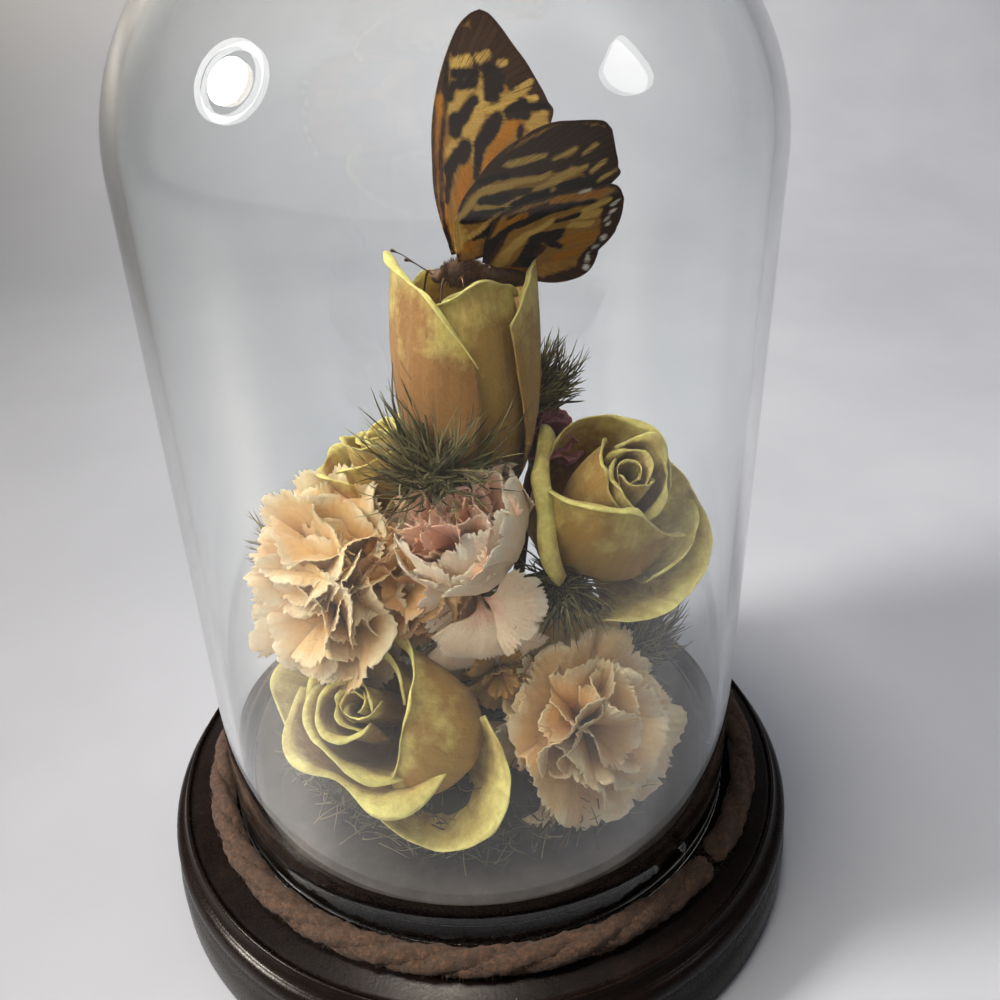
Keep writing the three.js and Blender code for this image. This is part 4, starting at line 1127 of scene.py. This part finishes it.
# ---------------------------------------------------------------- the whole arrangement
PETAL_COLOURS = {
    "yellow": dict(
        rim="#fff79a", body="#a8863c", base="#744a1e", outside="#9c7036", vein="#a67c3a",
        vein_scale=26, rim_start=0.64,
    ),
    "peach": dict(
        rim="#fdebc4", body="#f0cb94", base="#c68c4e", outside="#e4b87c", vein="#d8ac74", blush="#b07a40",
    ),
    "pink": dict(
        rim="#fff2dc", body="#ffe4c4", base="#f0b49c", outside="#ffe6c8", vein="#f4c8a4", blush="#f09484",
    ),
    "mauve": dict(rim="#b87c84", body="#9a5a64", base="#6a3a40", outside="#8a4f58", vein="#7a4048"),
    "ochre": dict(rim="#d0a050", body="#b08a3e", base="#7a5428", outside="#9a7030", vein="#7a5a28"),
}
PETAL_FINISH = {kind: petal(f"dried_{kind}_petal", **colours) for kind, colours in PETAL_COLOURS.items()}
WING_MATERIAL = wing_scales()

LOOSE_WHORLS = [
    (5, 46, -26, 1.12, 0.0), (5, 60, -4, 1.05, 0.18), (4, 74, 22, 0.95, 0.32), (2, 86, 45, 0.8, 0.42),
]
CUPPED_WHORLS = [(6, 58, 84, 1.3, 0.3), (6, 72, 88, 1.15, 0.5), (4, 84, 90, 0.95, 0.65)]
# The broad petals that cup the pink carnation: azimuth, the angle they end at, length and sideways lean.
PINK_CUPS = [
    (270, 120, 25, 6), (222, 114, 25, -8), (318, 112, 26, 10), (180, 100, 24, 0), (0, 112, 28, -6),
    (110, 104, 28, 0), (60, 104, 28, 0), (246, 108, 20, -12), (296, 106, 21, 8),
]
SMALL_WHORLS = [(7, 50, -10, 1.0, 0.0), (6, 70, 20, 0.9, 0.25), (5, 85, 60, 0.7, 0.45)]
STRAP_WHORLS = [(8, 55, -35, 1.1, 0.0), (8, 70, 0, 1.0, 0.15), (6, 85, 40, 0.7, 0.3)]

CUP_RIM = dict(fold=0.03, teeth=33)
SKIRT_SIDE = dict(fan=55, fold=0.06, teeth=21, notch=0.12, cup=0.3)


def skirt(foot, petals):
    """A fringed skirt that hangs below the pink carnation."""
    return dict(foot=foot, faces=(0.14, -0.9, 0.1), radius=12, whorls=[], petals=petals)


CARNATIONS = {
    "pink_carnation": [
        dict(
            foot=(3.5, -14.5, 53.5), faces=(-0.38, -0.18, 0.9), radius=14.5, whorls=CUPPED_WHORLS,
            fold=0.12, fan=50, blush=0.6,
            petals=[
                dict(
                    azimuth=azimuth, rise=6, fall=fall, length=length, fan=38, lean=lean, cup=1.0,
                    notch=0.09, **CUP_RIM,
                )
                for azimuth, fall, length, lean in PINK_CUPS
            ],
        ),
        skirt((1, -15, 50.5), [
            dict(
                azimuth=267, rise=20, fall=-30, length=26, fan=36, fold=0.035, teeth=37, notch=0.07,
                cup=-0.1,
            ),
            dict(azimuth=205, rise=60, fall=0, length=15, **SKIRT_SIDE),
        ]),
        skirt((1.5, -18.5, 51), [
            dict(
                azimuth=273, rise=36, fall=-36, length=20.5, fan=46, fold=0.035, teeth=37, notch=0.09,
                cup=-0.1,
            ),
        ]),
        skirt((1.5, -21.5, 51.5), [
            dict(
                azimuth=270, rise=58, fall=-40, length=15, fan=58, fold=0.035, teeth=33, notch=0.12,
                cup=-0.15,
            ),
            dict(azimuth=352, rise=58, fall=-10, length=14, **SKIRT_SIDE),
        ]),
    ],
    "left_carnation": [
        dict(foot=(-25, -4.5, 49), faces=(-0.55, -0.5, 0.85), radius=18.5, whorls=LOOSE_WHORLS, fan=64),
        dict(foot=(-24.5, -8, 43.5), faces=(-0.55, -0.85, 0.25), radius=18.5, whorls=LOOSE_WHORLS, fan=64),
    ],
    "tan_carnation": [
        dict(foot=(-12, -9.5, 49.5), faces=(-0.15, -0.9, 0.3), radius=13.5, blush=0.8, blush_from=-1),
    ],
    "lower_carnation": [dict(foot=(18.5, -16.5, 12.5), faces=(0.4, -0.75, 0.5), radius=22, fan=62)],
    "mauve_flower": [
        dict(
            foot=(17, 6, 69.5), faces=(0.3, -0.1, 0.9), radius=9, whorls=SMALL_WHORLS,
            fold=0.1, teeth=5, across_steps=30,
        ),
    ],
    "ochre_flower": [
        dict(
            foot=(4.5, -17, 30.5), faces=(0.1, -0.95, 0.1), radius=9, whorls=STRAP_WHORLS,
            fan=18, fold=0.05, teeth=3, across_steps=20,
        ),
    ],
}
FLOWER_COLOUR = {"pink_carnation": "pink", "mauve_flower": "mauve", "ochre_flower": "ochre"}

make_foot()
make_dome()
make_rope()
for rose_name, settings in ROSES.items():
    make_rose(rose_name, material=PETAL_FINISH["yellow"], **settings)
for flower_name, settings in CARNATIONS.items():
    hue = FLOWER_COLOUR.get(flower_name, "peach")
    make_carnation(flower_name, settings, PETAL_FINISH[hue], f"{hue}_petal")
for tuft_name, settings in TUFTS.items():
    make_tuft(tuft_name, **settings)
make_moss()
make_stems()
make_butterfly_body()
RIGHT = dict(side=-1, lean=RIGHT_WING_LEAN)
LEFT = dict(side=1, lean=LEFT_WING_LEAN)
HIND = dict(outline=HINDWING, apex=6, layer=0.9, marks=HINDWING_MARKS, hub=(-2, 4))
FORE_RIGHT = dict(outline=RIGHT_FOREWING, apex=6, layer=0, marks=RIGHT_FOREWING_MARKS, hub=(1, 27))
FORE_LEFT = dict(outline=LEFT_FOREWING, apex=8, layer=0, marks=LEFT_FOREWING_MARKS, hub=(7, 21))
make_wing("butterfly_right_forewing", **FORE_RIGHT, **RIGHT)
make_wing("butterfly_right_hindwing", **HIND, **RIGHT)
make_wing("butterfly_left_forewing", **FORE_LEFT, **LEFT)
make_wing("butterfly_left_hindwing", **HIND, **LEFT)


# ---------------------------------------------------------------- stage, light and camera
TABLE_FRONT, TABLE_BACK, TABLE_HALF, TABLE_BEND = -1500, 750, 2500, 300
WALL_TOP = 900
# Painted shade: the table is painted darker towards the strong lamp on the left, and close in front of the
# foot.
LAMP_SIDE, LAMP_SIDE_REACH = 20, 400
NEAR_EDGE, NEAR_REACH = -85, 140


def make_stage():
    """A pale table that bends up into a pale wall behind it, with painted shade on its left and close in
    front of the foot.
    """
    corner = TABLE_BACK - TABLE_BEND
    run = [(TABLE_FRONT, 0), (corner, 0)]
    for a in np.linspace(0.1, 1.5, 15):
        run.append((corner + TABLE_BEND * math.sin(a), TABLE_BEND * (1 - math.cos(a))))
    run += [(TABLE_BACK, WALL_TOP)]
    floor = Form()
    floor.grid(np.array([[(-TABLE_HALF, y, z), (TABLE_HALF, y, z)] for y, z in run], float))
    s = Shader("pale_table", Roughness=0.5)
    pale = s.ramp(s.noise(s.place(), 0.01, 3), (0.3, "#7b7f89"), (0.7, "#838791"))
    where = s.node("SeparateXYZ", {"Vector": s.place()}).outputs
    # Painted shade: the table's colour darkens towards the left.
    painted_shade_left = s.math("DIVIDE", s.math("SUBTRACT", LAMP_SIDE, where["X"]), LAMP_SIDE_REACH, clamp=True)
    pale = s.blend(painted_shade_left, pale, "#404246")
    # Painted shade: the table's colour darkens close in front of the foot.
    painted_shade_near = s.math("DIVIDE", s.math("SUBTRACT", NEAR_EDGE, where["Y"]), NEAR_REACH, clamp=True)
    s.feed("Base Color", s.blend(painted_shade_near, pale, "#3c3d40"))
    stage_object("table", floor, s.material)


def stage_object(name, form, material):
    made = form.made(name, material)
    return made


def make_light(name, place, aim, size, power, colour=(1, 1, 1), shape="DISK"):
    lamp = bpy.data.lights.new(name, "AREA")
    lamp.shape = shape
    lamp.size = size
    lamp.energy = power
    lamp.color = colour
    made = bpy.data.objects.new(name, lamp)
    made.location = place
    made.rotation_euler = (Vector(aim) - Vector(place)).to_track_quat("-Z", "Y").to_euler()
    linked(made)


BRIGHT_SIDE = (-0.5, -0.85, 0.15)
ROOM_LEVELS = (0.13, 0.55)


def make_world():
    """Soft daylight, brighter from the front left of the part."""
    bpy.context.scene.world = world = bpy.data.worlds.new("soft_room")
    world.use_nodes = True
    tree = world.node_tree
    background = tree.nodes["Background"]
    towards = tree.nodes.new("ShaderNodeTexCoord").outputs["Generated"]
    front = tree.nodes.new("ShaderNodeVectorMath")
    front.operation = "DOT_PRODUCT"
    front.inputs[1].default_value = BRIGHT_SIDE
    tree.links.new(towards, front.inputs[0])
    glow = tree.nodes.new("ShaderNodeValToRGB")
    for element, level in zip(glow.color_ramp.elements, ROOM_LEVELS):
        element.color = (level, level * 0.97, level * 0.92, 1)
    tree.links.new(front.outputs["Value"], glow.inputs["Fac"])
    tree.links.new(glow.outputs["Color"], background.inputs["Color"])
    background.inputs["Strength"].default_value = 1


CAMERA_PLACE = (0, -0.1979, 0.2134)
CAMERA_TURN = (0.036, 0.541, -0.032)
CAMERA_LENS = 38.0


def make_camera():
    yaw, pitch, roll = CAMERA_TURN
    forward = np.array([math.sin(yaw) * math.cos(pitch), math.cos(yaw) * math.cos(pitch), -math.sin(pitch)])
    right = np.array([math.cos(yaw), -math.sin(yaw), 0])
    up = np.cross(right, forward)
    tilt = np.array([[math.cos(roll), math.sin(roll)], [-math.sin(roll), math.cos(roll)]])
    right, up = tilt @ np.stack([right, up])
    lens = bpy.data.cameras.new("camera")
    lens.sensor_width = 36
    lens.lens = CAMERA_LENS
    lens.clip_start = 0.01
    made = bpy.data.objects.new("camera", lens)
    matrix = np.eye(4)
    matrix[:3, :3] = np.stack([right, up, -forward], 1)
    matrix[:3, 3] = CAMERA_PLACE
    made.matrix_world = Matrix(matrix.tolist())
    bpy.context.scene.camera = linked(made)


DOME_SHOULDER = (0, 0, 0.19)
LAMP_DISTANCE = 1.3


def lamp_place(direction):
    return tuple(np.array(DOME_SHOULDER) + LAMP_DISTANCE * unit(direction))


# Outlines of the glowing lamp shades, each as an inner and an outer loop about the lamp, in metres.
ROUND = np.linspace(0, TAU, 64, endpoint=False)
RING_OUTLINE = [(r * np.cos(ROUND), r * np.sin(ROUND)) for r in (0.219, 0.279)]
DROP_SHAPE = np.sin(ROUND), 0.7 * np.exp(-((ROUND - math.pi) ** 2) * 3) - 0.75 * np.cos(ROUND)
DROP_OUTLINE = [(k * DROP_SHAPE[0], k * DROP_SHAPE[1]) for k in (0.001, 0.186)]


def make_glow(name, place, outline, strength, turn=0):
    """A glowing flat shade round a lamp, turned towards the dome."""
    shade = Form()
    shade.grid(np.array([np.stack([x, y, 0 * x], -1) for x, y in outline]) / MM, wrap_u=True)
    s = Shader(name, Emission_Strength=strength, Emission_Color=(1, 1, 1, 1))
    made = stage_object(name, shade, s.material)
    made.location = place
    aim = (Vector(DOME_SHOULDER) - Vector(place)).to_track_quat("-Z", "Y")
    made.rotation_euler = (aim @ Matrix.Rotation(math.radians(turn), 3, "Z").to_quaternion()).to_euler()


make_stage()
make_world()
LEFT_LAMP = lamp_place((-0.85, -0.15, 0.465))
RIGHT_LAMP = lamp_place((0.76, -0.333, 0.50))
make_light(
    "overhead_softbox", place=(-0.15, 0.42, 1.5), aim=(0, 0.1, 0.1), size=1.1, power=10, shape="SQUARE",
)
make_light(
    "warm_key", place=(-0.2, -0.1, 1.3), aim=(0, 0, 0.1), size=0.3, power=18, colour=(1, 0.9, 0.76),
    shape="SQUARE",
)
make_light("left_ring_lamp", LEFT_LAMP, DOME_SHOULDER, size=0.31, power=54, colour=(1, 0.91, 0.78))
make_glow("left_lamp_ring", LEFT_LAMP, RING_OUTLINE, 8)
make_glow("right_lamp_shade", RIGHT_LAMP, DROP_OUTLINE, 4, turn=-28)
make_camera()
bpy.context.scene.view_settings.view_transform = "Standard"
